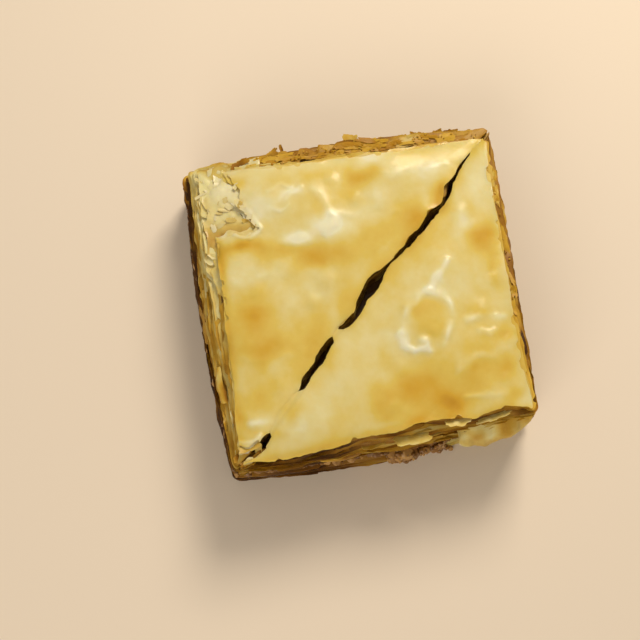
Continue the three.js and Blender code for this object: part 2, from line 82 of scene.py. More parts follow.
EDGE_STEP = 0.45  # distance between the points of a covering sheet's edge
COARSE_STEP = 1.5  # and of an outline that isn't seen itself
CORNER_ROUNDING = 8  # passes of smoothing that round the corners of a wall
TRIANGLE_HEIGHT = 0.866  # height of an even triangle whose side is 1
CHUNK = 2000  # points whose distances to an edge are worked out at once

Array = np.ndarray
Pair = tuple[float, float]
# The browning of a shell also holds its painted shade and highlights.
Shell = tuple[Array, Array, Array]  # points, triangles, and how brown each point is
HeightRule = Callable[[Array, Array], Array]
BandRule = Callable[[Array, float, float], Array]


# --- repeatable disorder -------------------------------------------------------------------------

# Each use of chance and noise has a pattern number of its own as its seed, so that no two look alike.


def chance(i: Array | float, j: Array | float, seed: float) -> Array:
    """Repeatable random numbers from 0 to 1 for points of a lattice."""
    value = np.sin(np.asarray(i) * 127.1 + np.asarray(j) * 311.7 + seed * 74.7) * 43758.5453
    return value - np.floor(value)


def noise(x: Array | float, y: Array | float, seed: float) -> Array:
    """Smooth noise from -1 to 1.

    Args:
        x: First coordinate, one unit to a lattice step.
        y: Second coordinate.
        seed: Chooses the pattern.

    Returns:
        One value for each point.
    """
    x, y = np.broadcast_arrays(np.asarray(x, float), np.asarray(y, float))
    i, j = np.floor(x), np.floor(y)
    u, v = x - i, y - j
    u, v = u * u * (3 - 2 * u), v * v * (3 - 2 * v)
    near = chance(i, j, seed) * (1 - u) + chance(i + 1, j, seed) * u
    far = chance(i, j + 1, seed) * (1 - u) + chance(i + 1, j + 1, seed) * u
    return 2 * (near * (1 - v) + far * v) - 1


def crumple(x: Array, y: Array, length: float, seed: float) -> Array:
    """Three sizes of noise laid over each other.

    Args:
        x: First coordinate in millimetres.
        y: Second coordinate.
        length: Length of the largest waves.
        seed: Chooses the pattern.

    Returns:
        One value for each point.
    """
    return sum(
        noise(x / (length * share), y / (length * share), seed + n) * share
        for n, share in enumerate((1.0, 0.5, 0.25))
    )


def ripples(along: Array, row: float, seed: float, *waves: tuple[float, float, float, float]) -> Array:
    """Waves of several sizes along one of many rows that lie side by side.

    Args:
        along: Distance along the row.
        row: Number of the row.
        seed: Chooses the pattern.
        *waves: Height and length of each size of waves, how much they change from row to row, and
            what is added to the seed for them.

    Returns:
        The sum of the waves at each place.
    """
    return sum(
        height * noise(along / length, row * change, seed + pattern)
        for height, length, change, pattern in waves
    )


def step_up(value: Array, low: float, high: float) -> Array:
    """Rises smoothly from 0 at low to 1 at high."""
    t = np.clip((value - low) / (high - low), 0, 1)
    return t * t * (3 - 2 * t)


def mix(a: Array | float, b: Array | float, t: Array | float) -> Array:
    """The value a share t of the way from a to b."""
    return a + (b - a) * t


def pick(low: float, high: float, i: float, j: float, seed: float) -> float:
    """A repeatable random number between two others."""
    return mix(low, high, chance(i, j, seed))


# --- outlines ------------------------------------------------------------------------------------


class Part(Enum):
    """What an outline runs round: the whole piece or one half of its split top."""

    WHOLE = "whole"
    LEFT = "left"
    RIGHT = "right"


BACK, LEFT, FRONT, RIGHT, CUT = range(5)
# Which way the back, left, front and right sides face.
FACING = np.array([(0, 1), (-1, 0), (0, -1), (1, 0)])


@dataclass(frozen=True)
class Outline:
    """The piece's outline at one height.

    Attributes:
        corners: Its corners, anticlockwise from the back right one.
        bows: How far its back, left, front and right sides bow out between them.
        front: Shares of the front side and how far it stands out there, where it has crumbled.
    """

    corners: tuple[Pair, ...]
    bows: tuple[float, float, float, float]
    front: tuple[Pair, ...] = ((0, 0), (1, 0))


FOOT = Outline(((36.6, 34.8), (-37, 35.6), (-34.8, -35.6), (36.6, -32.4)), (1.2, 1.4, 2.4, 0.3))
BELT = Outline(((36.4, 34.8), (-36.4, 35.6), (-34, -35.8), (35.6, -33)), (1.6, 1.2, 1.5, 0.3))
SHOULDER = Outline(
    ((36, 34.6), (-32.8, 34.6), (-32.8, -35.2), (34.8, -32.6)), (1.4, 0.4, 0, 0.1),
    ((0, 0), (0.2, 0.7), (0.33, 0.6), (0.42, -1.2), (0.69, -1.2), (0.79, 0), (0.88, -0.7), (1, 0)),
)
SHEET = Outline(
    ((34.4, 31.8), (-30.2, 33), (-31.8, -35), (34, -32.6)), (-0.6, -0.3, 0, -0.8),
    ((0, 0), (0.12, 0.5), (0.25, 0.1), (0.35, -0.3), (0.43, -1), (0.52, -1), (0.6, -1.8), (0.69, -1.7),
     (0.8, 0), (0.88, -1.3), (1, 0)),
)

# How long the back, left, front and right walls and the cut's faces stay out at the belt before they
# slope in.
TOP_WALL = np.array([3, 1.2, 1.8, 2.8, 1])
BASE_WALL = np.array([1.5, 1.5, 2, 1.5, 1])
# How much further the lower covering sheets reach than the uppermost on each of these edges.
HEM = np.array([1, 0.1, -0.9, 1, 1])

# The knife cut from the back right corner (0) to the front left one (1): share of its length, how
# far it strays towards the back left, and how wide it stands open.
CUT_STATIONS = np.array(
    [
        (0, 0, 0.12), (0.06, 0.45, 0.12), (0.1, 0.5, 0.22), (0.12, 0.2, 0.4), (0.14, 0, 0.65),
        (0.16, -0.3, 1.4), (0.18, -1, 1.2), (0.2, -1.8, 0.45), (0.22, -1.4, 0.7), (0.24, -1.1, 1.3),
        (0.28, -1, 1.1), (0.34, -0.75, 0.8), (0.385, -0.4, 0.5), (0.4, 0, 0.2), (0.42, 0.2, 0.7),
        (0.44, 0.1, 1.8), (0.46, 0.5, 3), (0.48, 0.3, 2.9), (0.5, 0.3, 2.1), (0.525, -0.1, 2.3),
        (0.55, -0.8, 1.2), (0.58, -0.6, 1.4), (0.605, 0.1, 0.8), (0.62, -0.1, 0.25), (0.64, 0.2, 1.3),
        (0.68, 0, 2), (0.7, -0.5, 1.7), (0.73, -0.5, 1.1), (0.765, -0.8, 0.9), (0.785, -1.2, 0.25),
        (0.9, -1.4, 0.25), (0.915, -1.2, 1.8), (0.94, -1.5, 1.6), (0.96, -1.2, 0.6), (1, 0, 0.2),
    ]
)
CUT_TAPER = 0.45  # share of the opening that is left at the bottom of the cut
SIDE_SPAN, CUT_SPAN = 68.0, 94.0  # lengths that a side and the cut are reckoned with
# The knife's straight path, between two corners of the top sheet.
KNIFE_START, KNIFE_END = np.array(SHEET.corners[0]), np.array(SHEET.corners[2])
TORN_AT = (-25.0, 24.0)  # middle of the torn back left corner


def on_knife_path(point: Pair) -> Array:
    """The point of the knife's straight path that is nearest to another."""
    path = KNIFE_END - KNIFE_START
    return KNIFE_START + path * (np.dot(np.array(point) - KNIFE_START, path) / np.dot(path, path))


@dataclass
class Walk:
    """Places at even steps round the whole piece or one half, anticlockwise.

    Attributes:
        edge: Which edge each place is on.
        share: How far along that edge it is, from 0 to 1.
        arc: Its distance from the start of the walk.
    """

    edge: Array
    share: Array
    arc: Array

    @classmethod
    def round(cls, part: Part, step: float) -> "Walk":
        """Lays out the places.

        Args:
            part: What to walk round.
            step: Distance from one place to the next.

        Returns:
            The walk.
        """
        edges = {
            Part.WHOLE: (BACK, LEFT, FRONT, RIGHT),
            Part.LEFT: (BACK, LEFT, CUT),
            Part.RIGHT: (FRONT, RIGHT, CUT),
        }[part]
        rows, start = [], 0.0
        for edge in edges:
            span = CUT_SPAN if edge == CUT else SIDE_SPAN
            count = round(span / step)
            t = (np.arange(count) + 0.5) / count
            share = 1 - t if edge == CUT and part is Part.LEFT else t
            rows.append(np.stack([np.full(count, edge), share, start + span * t], 1))
            start += span
        table = np.concatenate(rows)
        return cls(table[:, 0].astype(int), table[:, 1], table[:, 2])

    @property
    def on_cut(self) -> Array:
        """Whether each place is on the face of the cut."""
        return self.edge == CUT

    def points(self, outline: Outline, part: Part, opening: float = 1.0, tuck: float = 0.0) -> Array:
        """Places the walk on one outline.

        Args:
            outline: The outline at some height.
            part: What the walk goes round.
            opening: Share of the cut's width that is left at this height.
            tuck: How far the faces of the cut lie back.

        Returns:
            One (x, y) for each place.
        """
        corners = np.array(outline.corners)
        side = np.minimum(self.edge, RIGHT)
        start, end = corners[side], corners[(side + 1) % 4]
        along = end - start
        out = np.stack([along[:, 1], -along[:, 0]], 1) / np.linalg.norm(along, axis=1)[:, None]
        bow = np.array(outline.bows)[side] * 4 * self.share * (1 - self.share)
        bow += np.where(side == FRONT, np.interp(self.share, *np.transpose(outline.front)), 0)
        spots = start + along * self.share[:, None] + out * bow[:, None]

        first, last = on_knife_path(outline.corners[0]), on_knife_path(outline.corners[2])
        path = last - first
        to_back_left = np.array([path[1], -path[0]]) / np.linalg.norm(path)
        # The cut strays from its straight path, stands open unevenly and has rough faces.
        stray, gap = (np.interp(self.share, CUT_STATIONS[:, 0], CUT_STATIONS[:, n]) for n in (1, 2))
        seed = 11 if part is Part.LEFT else 12
        rough = 0.15 * (1 + noise(self.share * CUT_SPAN / 3, 0, seed)) * step_up(self.share, 0, 0.16)
        apart = np.maximum(gap * opening, LAYER_GAP) / 2 + rough + tuck * step_up(self.share, -0.03, 0.1)
        away = stray + (apart if part is Part.LEFT else -apart)
        on_cut = first + path * self.share[:, None] + to_back_left * away[:, None]
        return np.where(self.on_cut[:, None], on_cut, spots)


def soften(ring: Array, passes: int) -> Array:
    """Smooths a closed row of points or values by averaging neighbours.

    Args:
        ring: The row.
        passes: How often each is averaged with its neighbours.

    Returns:
        The smoothed row.
    """
    for _ in range(passes):
        ring = (np.roll(ring, 1, 0) + 2 * ring + np.roll(ring, -1, 0)) / 4
    return ring


def outward(ring: Array) -> Array:
    """Unit vectors that face out of an anticlockwise closed row of points."""
    run = np.roll(ring, -1, 0) - np.roll(ring, 1, 0)
    return np.stack([run[:, 1], -run[:, 0]], 1) / np.linalg.norm(run, axis=1)[:, None]


def shrink(ring: Array, share: float) -> Array:
    """The ring drawn towards its middle, to a share of its size."""
    middle = ring.mean(0)
    return middle + (ring - middle) * share


def inside(points: Array, polygon: Array) -> Array:
    """Whether points lie in a polygon, by counting the edges to their right.

    Args:
        points: Their (x, y) places.
        polygon: The polygon's corners.

    Returns:
        True or False for each.
    """
    x, y = points[:, :1], points[:, 1:2]
    x0, y0 = polygon[:, 0], polygon[:, 1]
    x1, y1 = np.roll(x0, -1), np.roll(y0, -1)
    spans = (y0 > y) != (y1 > y)
    rise = np.where(y1 == y0, 1e-9, y1 - y0)
    crossings = spans & (x < (x1 - x0) * (y - y0) / rise + x0)
    return crossings.sum(1) % 2 == 1


def distance_to_line(x: Array, y: Array, line: Array) -> Array:
    """How far points lie from an open row of points joined by straight lines.

    Args:
        x: Their places along X.
        y: Their places along Y.
        line: The row of points.

    Returns:
        One distance for each point.
    """
    best = np.full(np.shape(x), 1e9)
    for (ax, ay), (bx, by) in zip(line[:-1], line[1:]):
        dx, dy = bx - ax, by - ay
        t = np.clip(((x - ax) * dx + (y - ay) * dy) / (dx * dx + dy * dy), 0, 1)
        best = np.minimum(best, np.hypot(x - ax - t * dx, y - ay - t * dy))
    return best


def tear(corners: list[Pair], amount: float, seed: float) -> Array:
    """Turns a coarse closed outline into a torn one with fine, uneven teeth.

    Args:
        corners: The coarse outline.
        amount: How far the teeth stray.
        seed: Chooses their pattern.

    Returns:
        The torn outline.
    """
    spots = np.array(corners, float)
    rows = []
    for n, (start, end) in enumerate(zip(spots, np.roll(spots, -1, 0))):
        length = np.linalg.norm(end - start)
        count = max(2, int(length / EDGE_STEP))
        t = np.arange(count) / count
        normal = np.array([end[1] - start[1], start[0] - end[0]]) / length
        teeth = crumple(t * length, np.full(count, n * 7.3), 2.2, seed) * np.sqrt(4 * t * (1 - t))
        rows.append(start + (end - start) * t[:, None] + normal * (amount * teeth)[:, None])
    return np.concatenate(rows)


# --- the lie of the top sheet --------------------------------------------------------------------

SHEET_EDGES = (-32.0, 34.0, -35.0, 32.0)  # left, right, front and back
RIM_FALL = (1.5, 4.0)  # how far the sheet falls at its rim, and over what reach
CORNER_FALL = (2.2, 9.0)  # and at the torn back left corner
RIPPLE = (0.25, 9.0)  # height and length of the ripples all over it

# Soft swellings and hollows: x, y, height, radius.
SWELLINGS = (
    (13.7, -9.3, 0.7, 6), (19.4, 3, 0.4, 5), (26, -16, 0.5, 6), (10, -25, -0.4, 7), (-5, 18, 0.6, 7),
    (-17, 23, 0.3, 6), (12, 28, 0.5, 6), (-25, -6, 0.5, 8), (-12, -6, -0.4, 7), (-17, -26, 0.4, 6),
)

# Small blisters that steam raised in the top sheet: x, y, height, radius.
BLISTERS = (
    (-6.8, 3.2, 0.4, 2.4), (-10.8, -1.2, 0.3, 1.9), (-22.5, 2.6, 0.25, 2), (-27.6, -26.6, 0.35, 1.8),
    (12.4, -14.2, 0.3, 1.6), (17.8, -13.2, 0.25, 1.3), (15, -12, 0.2, 1.4), (26.4, -8.4, 0.3, 2.6),
    (8.2, 20.4, 0.25, 2.6), (2.4, 21.4, 0.25, 2), (-17.5, 23.8, 0.3, 4.2), (3.2, -27.2, 0.2, 1.8),
    (20.6, 24.8, 0.2, 2.6), (-2.4, 27.2, 0.2, 1.8), (-20.4, -19.6, 0.25, 2.4), (6.4, -19, 0.2, 2),
    (29, -25, 0.2, 1.8), (25.4, 14.4, 0.2, 2.4), (30.6, -2, 0.2, 2), (-15.2, 7.2, 0.2, 2.4),
)

# Creases where the sheet gathered: height, half width and the line they follow.
CREASES = (
    (0.4, 0.95, ((20.4, 3.4), (18.8, 1.2), (16.9, -0.6), (15.6, -2.8))),
    (0.4, 0.95, ((15.6, -2.8), (12.8, -3.8), (10.4, -6), (8.7, -8.8), (8.1, -11.6))),
    (0.42, 0.95, ((8.1, -11.6), (8.3, -14), (9.6, -15.6), (12, -15.8))),
    (0.38, 0.9, ((15.6, -2.8), (17.9, -4), (19.5, -6.2), (19.8, -9))),
    (0.36, 0.8, ((19.2, -10.6), (18.2, -12.4), (17, -15))),
    (0.36, 0.8, ((11.8, -13.4), (13.1, -14.2), (13.3, -16.6))),
    (0.3, 1.2, ((-14.6, 13.4), (-12, 13), (-9.6, 13.8))),
    (0.4, 1.5, ((-5.4, 14.2), (-4, 15.6), (-3.4, 17.6))),
    (0.2, 0.9, ((-3.4, 18.4), (-4.4, 22.2), (-6.8, 25.2))),
    (0.22, 0.7, ((-9.4, 25.6), (-11.4, 24.6), (-13.2, 23.4))),
    (0.16, 0.6, ((-11.4, 26.4), (-14, 27.2), (-17, 26.4))),
    (0.16, 0.6, ((-12.8, 21.8), (-15, 21), (-17.2, 21.8))),
    (0.1, 0.9, ((-1.4, 18.4), (1.6, 17.4), (6.8, 18.6), (11.4, 17))),
    (0.3, 0.9, ((22.6, -10.4), (26.8, -9.8), (31.4, -10.6))),
    (0.2, 0.8, ((25.6, -13.4), (27.2, -14.2), (28.6, -13.6))),
    (0.24, 1.1, ((19.4, -21.6), (22.6, -19.6), (27.6, -19.4), (32.2, -16.2))),
    (0.12, 1.1, ((-28.4, -11.4), (-22.6, -13.4), (-17.6, -12.2))),
    (0.1, 1.2, ((-27.4, 5.6), (-20.4, 6.8), (-13.6, 5.2), (-8.4, 6.6))),
    (0.22, 0.8, ((19.6, -27.8), (24.4, -28), (28.4, -28.4))),
    (0.14, 1.2, ((24.2, 22.4), (26.4, 14.6), (25.2, 6.4))),
    (0.16, 1.1, ((6.2, 27.4), (11.6, 25.2), (17.8, 27.2), (23.4, 26.4))),
    (0.36, 0.55, ((-33, -29.6), (-30.4, -30.6), (-28.6, -30.4), (-27, -29.8))),
    (0.3, 0.5, ((-23.4, 24.2), (-21.6, 20.8), (-19.6, 17.4), (-22.6, 15.8), (-26.2, 16.8))),
)

# Where the oven browned the top sheet, and where it stayed pale or has a painted highlight (below
# zero): x, y, reach along x, reach along y, strength.
BROWN_PATCHES_AND_HIGHLIGHTS = (
    (4.3, 26.2, 3.4, 2.2, 0.95), (29.9, 8.9, 2.4, 3.8, 1), (-8.8, 8.7, 3.6, 2.4, 0.7),
    (-25, -2.4, 3.4, 3, 0.8), (-22.6, -10.2, 5, 2.8, 0.7), (10.4, -24.4, 6, 3.6, 0.76),
    (16.9, -28.4, 2.6, 2.2, 0.85), (22.6, -25.4, 3, 2.4, 0.4), (13.6, -9, 3.4, 4, 0.5),
    (26, -16.4, 3.6, 1.8, 0.15), (-24.7, 30.3, 2, 1.2, 0.5), (-29.6, -25.4, 1.5, 2.2, 0.5),
    (20.6, 19.6, 1.6, 3, 0.6), (15, 13.6, 2.2, 2.8, 0.75), (-25.4, 13.6, 5, 2, 0.85),
    (-16.4, 11.2, 5, 1.4, 0.4), (-1.6, 9.6, 5, 2.6, 0.5), (8, 12.4, 4.4, 3, 0.55),
    (-14.4, -17, 2.2, 3.2, 0.4), (-3, -2, 1.8, 3, 0.45), (3.6, -15, 1.6, 2.4, 0.2),
    (30, -22.4, 2.4, 2, 0.55), (-5.4, 28.6, 3.6, 1.4, 0.35), (1.6, -29.4, 2, 1.4, 0.3),
    (-1.4, 22.4, 4.6, 3.6, 0.4), (6, 2.6, 3.6, 3.6, 0.35), (-12, -8.4, 3.6, 4.4, 0.4),
    (-24, -20, 2.8, 2.6, 0.45), (22.4, -20.4, 3.4, 2.2, 0.6), (26.8, 21.6, 1.6, 2.6, 0.25),
    (31, -29.4, 2, 1.6, 0.5), (-29.6, 9, 1.6, 2.4, 0.4), (14, 7.6, 4, 2.6, 0.4),
    (-24, 15.4, 2.4, 1.6, 0.4), (31, 0.4, 1.6, 2.8, 0.45), (11.6, -5.4, 1.8, 1.4, 0.45),
    (31, -15.2, 1.6, 1.5, 0.45), (-24.4, -29.8, 2.2, 1.4, 0.4), (9, -30.2, 3.8, 1.3, 0.4),
    (-19, -24.6, 2.2, 2, 0.3), (-9, -13.4, 2.8, 3.4, 0.3), (1, -25.2, 2, 1.8, 0.3),
    (-14, 4.4, 2.2, 2, 0.35), (22.7, 21.5, 1.2, 1.5, 0.7), (26.2, -9.4, 2.4, 1.4, 0.2),
    (16, 30, 3, 1.6, 0.2), (-14, 29.6, 3, 1.8, 0.3), (-18.6, 19.4, 1.4, 1.6, 0.25),
    (-17.4, 22.6, 4.4, 3, -0.35), (7, 20, 2.4, 2, -0.25), (7, 30.4, 2.4, 1.2, -0.5),
    (18.4, -3.4, 3.4, 3, -0.2), (-18.4, -29.4, 3.4, 2.2, -0.3), (-27.2, -26.2, 1.8, 0.8, -0.6),
    # These three pale patches are painted highlights.
    (-4.8, 15.6, 2.2, 1.8, -0.55), (-12.2, 13.7, 2.6, 0.9, -0.5), (-11, 24.8, 1.9, 0.8, -0.4),
    (1, -20, 2.6, 2, -0.2), (24.1, 13.2, 1.8, 2.2, -0.45), (19.3, 25.6, 2.2, 1.7, -0.3),
)


def sheet_height(x: Array, y: Array) -> Array:
    """Height of the top sheet's main form, which the solids share.

    Args:
        x: Places along X.
        y: Places along Y.

    Returns:
        One height for each place.
    """
    left, right, front, back = SHEET_EDGES
    inset = np.maximum(np.minimum.reduce([right - x, x - left, back - y, y - front]), 0)
    fall = RIM_FALL[0] * np.exp(-inset / RIM_FALL[1])
    corner = CORNER_FALL[0] * np.exp(-np.hypot(x - left, y - back) / CORNER_FALL[1])
    swell = sum(h * np.exp(-((x - cx) ** 2 + (y - cy) ** 2) / r**2) for cx, cy, h, r in SWELLINGS)
    return PLATEAU - fall - corner + RIPPLE[0] * noise(x / RIPPLE[1], y / RIPPLE[1], 21) + swell


def gathers(x: Array, y: Array) -> Array:
    """How high the creases lift the top sheet.

    Args:
        x: Places along X.
        y: Places along Y.

    Returns:
        One height for each place.
    """
    sx, sy = x + 0.5 * noise(x / 2.4, y / 2.4, 51), y + 0.5 * noise(x / 2.4, y / 2.4, 50)
    fade = 0.65 + 0.5 * noise(x / 3, y / 3, 58)
    return sum(
        h * fade * np.exp(-((distance_to_line(sx, sy, np.array(line)) / w) ** 2)) for h, w, line in CREASES
    )


def sheet_relief(x: Array, y: Array) -> Array:
    """What the solids leave out of the top sheet: blisters, creases and the crepe of thin dough.

    Args:
        x: Places along X.
        y: Places along Y.

    Returns:
        How far it rises at each place.
    """
    domes = sum(
        h * step_up(1 - np.hypot(x - cx, y - cy) / (1.35 * r), 0, 1) for cx, cy, h, r in BLISTERS
    )
    near_tear = np.exp(-np.hypot(x + 24, y - 22) / 6)
    # The crepe is fine wrinkles whose direction turns slowly, and it is calm at the back right.
    turn = 0.5 + 0.9 * noise(x / 22, y / 22, 52)
    along, across = x * np.cos(turn) + y * np.sin(turn), y * np.cos(turn) - x * np.sin(turn)
    crepe = noise(along / 5, across / 1.5, 53) * 0.035 + noise(along / 1.8, across / 0.8, 54) * 0.012
    crepe = crepe * (1 + near_tear) * (1 - 0.8 * step_up(y, 18, 25) * step_up(x, -6, 2))
    crinkle = 0.16 * crumple(x, y, 2.6, 55) * near_tear
    return domes + gathers(x, y) + crepe + 0.05 * crumple(x, y, 6.5, 57) + crinkle


def top_surface(x: Array, y: Array) -> Array:
    """Upper side of the top sheet: its main form with its relief, kept under the highest solid."""
    z = sheet_height(x, y) + sheet_relief(x, y) - SHEET_DROP
    over = np.maximum(z - (CEILING - HEADROOM), 0)
    return z - over + HEADROOM * (1 - np.exp(-over / HEADROOM))


def across_cut(x: Array, y: Array) -> tuple[Array, Array]:
    """Places points by the knife cut.

    Args:
        x: Their places along X.
        y: Their places along Y.

    Returns:
        Each point's share of the cut's length, and its distance from the cut's middle, positive
        towards the back left.
    """
    path = KNIFE_END - KNIFE_START
    length = np.linalg.norm(path)
    dx, dy = x - KNIFE_START[0], y - KNIFE_START[1]
    share = (dx * path[0] + dy * path[1]) / length**2
    away = (dx * path[1] - dy * path[0]) / length
    return share, away - np.interp(share, CUT_STATIONS[:, 0], CUT_STATIONS[:, 1])


def sheet_browning_and_highlights(x: Array, y: Array) -> Array:
    """How far the oven browned the top sheet, from 0 for pale to 1 for toasted, and its painted highlights.

    Args:
        x: Places along X.
        y: Places along Y.

    Returns:
        One value for each place.
    """
    sx, sy = x + 1.4 * noise(x / 4, y / 4, 61), y + 1.4 * noise(x / 4, y / 4, 62)
    patches = sum(
        s * np.exp(-(((sx - cx) / rx) ** 2 + ((sy - cy) / ry) ** 2) / 1.7)
        for cx, cy, rx, ry, s in BROWN_PATCHES_AND_HIGHLIGHTS
    )
    mottle = 0.04 * crumple(x, y, 3.0, 63) + 0.08 * noise(x / 11, y / 11, 64)
    # Raised creases are paler, partly as thin raised dough and partly as painted highlight.
    crease_highlight_and_pale = 0.75 * np.minimum(gathers(x, y), 0.4) + 0.12 * np.exp(-np.hypot(x + 26, y - 25) / 5)
    share, away = across_cut(x, y)
    # It is browner along the back right half of the cut, and darker at its left and front rims.
    by_cut = 0.2 * np.exp(-((away / 1.8) ** 2)) * (1 - step_up(share, 0.45, 0.75))
    walk = Walk.round(Part.WHOLE, COARSE_STEP)
    rim = walk.points(SHEET, Part.WHOLE)[np.isin(walk.edge, (LEFT, FRONT))]
    by_rim = 0.24 * np.exp(-((distance_to_line(x, y, rim) / 1.3) ** 2))
    return np.clip(0.24 + 0.5 * np.minimum(patches, 1.3) + mottle + by_cut + by_rim - crease_highlight_and_pale, 0, 1)


# --- meshes --------------------------------------------------------------------------------------


def toned(points: Array, faces: Array, browning_and_painted_light: Array | float) -> Shell:
    """A shell that also says how brown each of its points is, from 0 to 1, painted light included."""
    return points, faces, np.broadcast_to(np.clip(browning_and_painted_light, 0, 1), len(points)).astype(float)


def at_height(spots: Array, z: Array | float) -> Array:
    """Places seen from above, lifted to one height or to a height each."""
    return np.column_stack([spots, np.broadcast_to(z, len(spots))])


def join_rings(rings: list[Array], capped: bool) -> tuple[Array, Array]:
    """A closed shell through rings with equally many points.

    Args:
        rings: (count, 3) arrays, from the middle of the underside up and over to the top, or all
            the way round a band.
        capped: True to close both ends with a fan, False to join the last ring to the first.

    Returns:
        The points and the triangles.
    """
    count = len(rings[0])
    points = np.concatenate(rings)
    i = np.arange(count)
    j = (i + 1) % count
    pairs = [(n, n + 1) for n in range(len(rings) - 1)]
    if not capped:
        pairs.append((len(rings) - 1, 0))
    faces = []
    for a, b in pairs:
        a, b = a * count, b * count
        faces += [np.stack([a + i, a + j, b + j], 1), np.stack([a + i, b + j, b + i], 1)]
    if capped:
        under, last = len(points), (len(rings) - 1) * count
        points = np.concatenate([points, rings[0].mean(0)[None], rings[-1].mean(0)[None]])
        faces.append(np.stack([np.full(count, under), j, i], 1))
        faces.append(np.stack([last + i, last + j, np.full(count, under + 1)], 1))
    return points, np.concatenate(faces)


def unit_ball(rounds: int) -> tuple[Array, Array]:
    """Points and triangles of a unit ball.

    Args:
        rounds: How often its 20 faces are split.

    Returns:
        The points and the triangles.
    """
    mesh = bmesh.new()
    bmesh.ops.create_icosphere(mesh, subdivisions=rounds, radius=1.0)
    points = np.array([v.co[:] for v in mesh.verts])
    faces = np.array([[v.index for v in f.verts] for f in mesh.faces])
    mesh.free()
    return points, faces


def torn_band(
    ring: Array, shares: tuple[float, ...], thickness: float, edge_share: float, height: BandRule
) -> tuple[Array, Array]:
    """One leaf as a closed band round the middle of a stack, thinner at its torn edge.

    Args:
        ring: Its torn edge, seen from above.
        shares: Sizes of the rings that it is made of, as shares of its edge, the edge itself first.
        thickness: How thick it is.
        edge_share: Share of the thickness that is left at the edge.
        height: Rule for its upper side, from the (x, y) places, the ring's share and the thickness.

    Returns:
        The points and the triangles.
    """
    upper, lower = [], []
    for share in shares:
        spots = shrink(ring, share)
        thick = thickness * (edge_share if share == 1.0 else 1.0)
        z = height(spots, share, thick)
        upper.append(at_height(spots, z))
        lower.append(at_height(spots, z - thick))
    return join_rings(lower[::-1] + upper, capped=False)


def add_object(name: str, data: bpy.types.ID) -> bpy.types.Object:
    """Puts a new object with the given mesh, light or camera into the scene.

    Args:
        name: Its name.
        data: What it shows.

    Returns:
        The object.
    """
    thing = bpy.data.objects.new(name, data)
    bpy.context.collection.objects.link(thing)
    return thing


def make_piece(
    name: str, shells: list[Shell], finish: bpy.types.Material, stands_for: tuple[str, ...],
    crease_deg: float = 48.0,
) -> None:
    """Joins shells into one named object that rides on the part.

    Args:
        name: The piece's name.
        shells: Points in millimetres, triangles and browning, with painted light, of each shell.
        finish: Its material.
        stands_for: The solids that it takes the place of.
        crease_deg: Edges sharper than this are shaded sharp.
    """
    starts = np.cumsum([0] + [len(points) for points, _, _ in shells])
    points = (np.concatenate([p for p, _, _ in shells]) + SHIFT) * MM
    points = np.clip(points, np.array(CAD_BOX[0]) + HAIR, np.array(CAD_BOX[1]) - HAIR)
    faces = np.concatenate([f + start for (_, f, _), start in zip(shells, starts)])
    mesh = bpy.data.meshes.new(name)
    mesh.from_pydata(points.tolist(), [], faces.tolist())
    browning_and_painted_light = mesh.attributes.new("browning_and_painted_light", "FLOAT", "POINT")
    browning_and_painted_light.data.foreach_set("value", np.concatenate([b for _, _, b in shells]))
    mesh.validate()
    mesh.shade_smooth()
    mesh.set_sharp_from_angle(angle=np.radians(crease_deg))
    mesh.materials.append(finish)
    piece = add_object(name, mesh)
    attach(piece, "root")
    if stands_for:
        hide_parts(*stands_for)
    log.info("%s: %d triangles", name, len(faces))


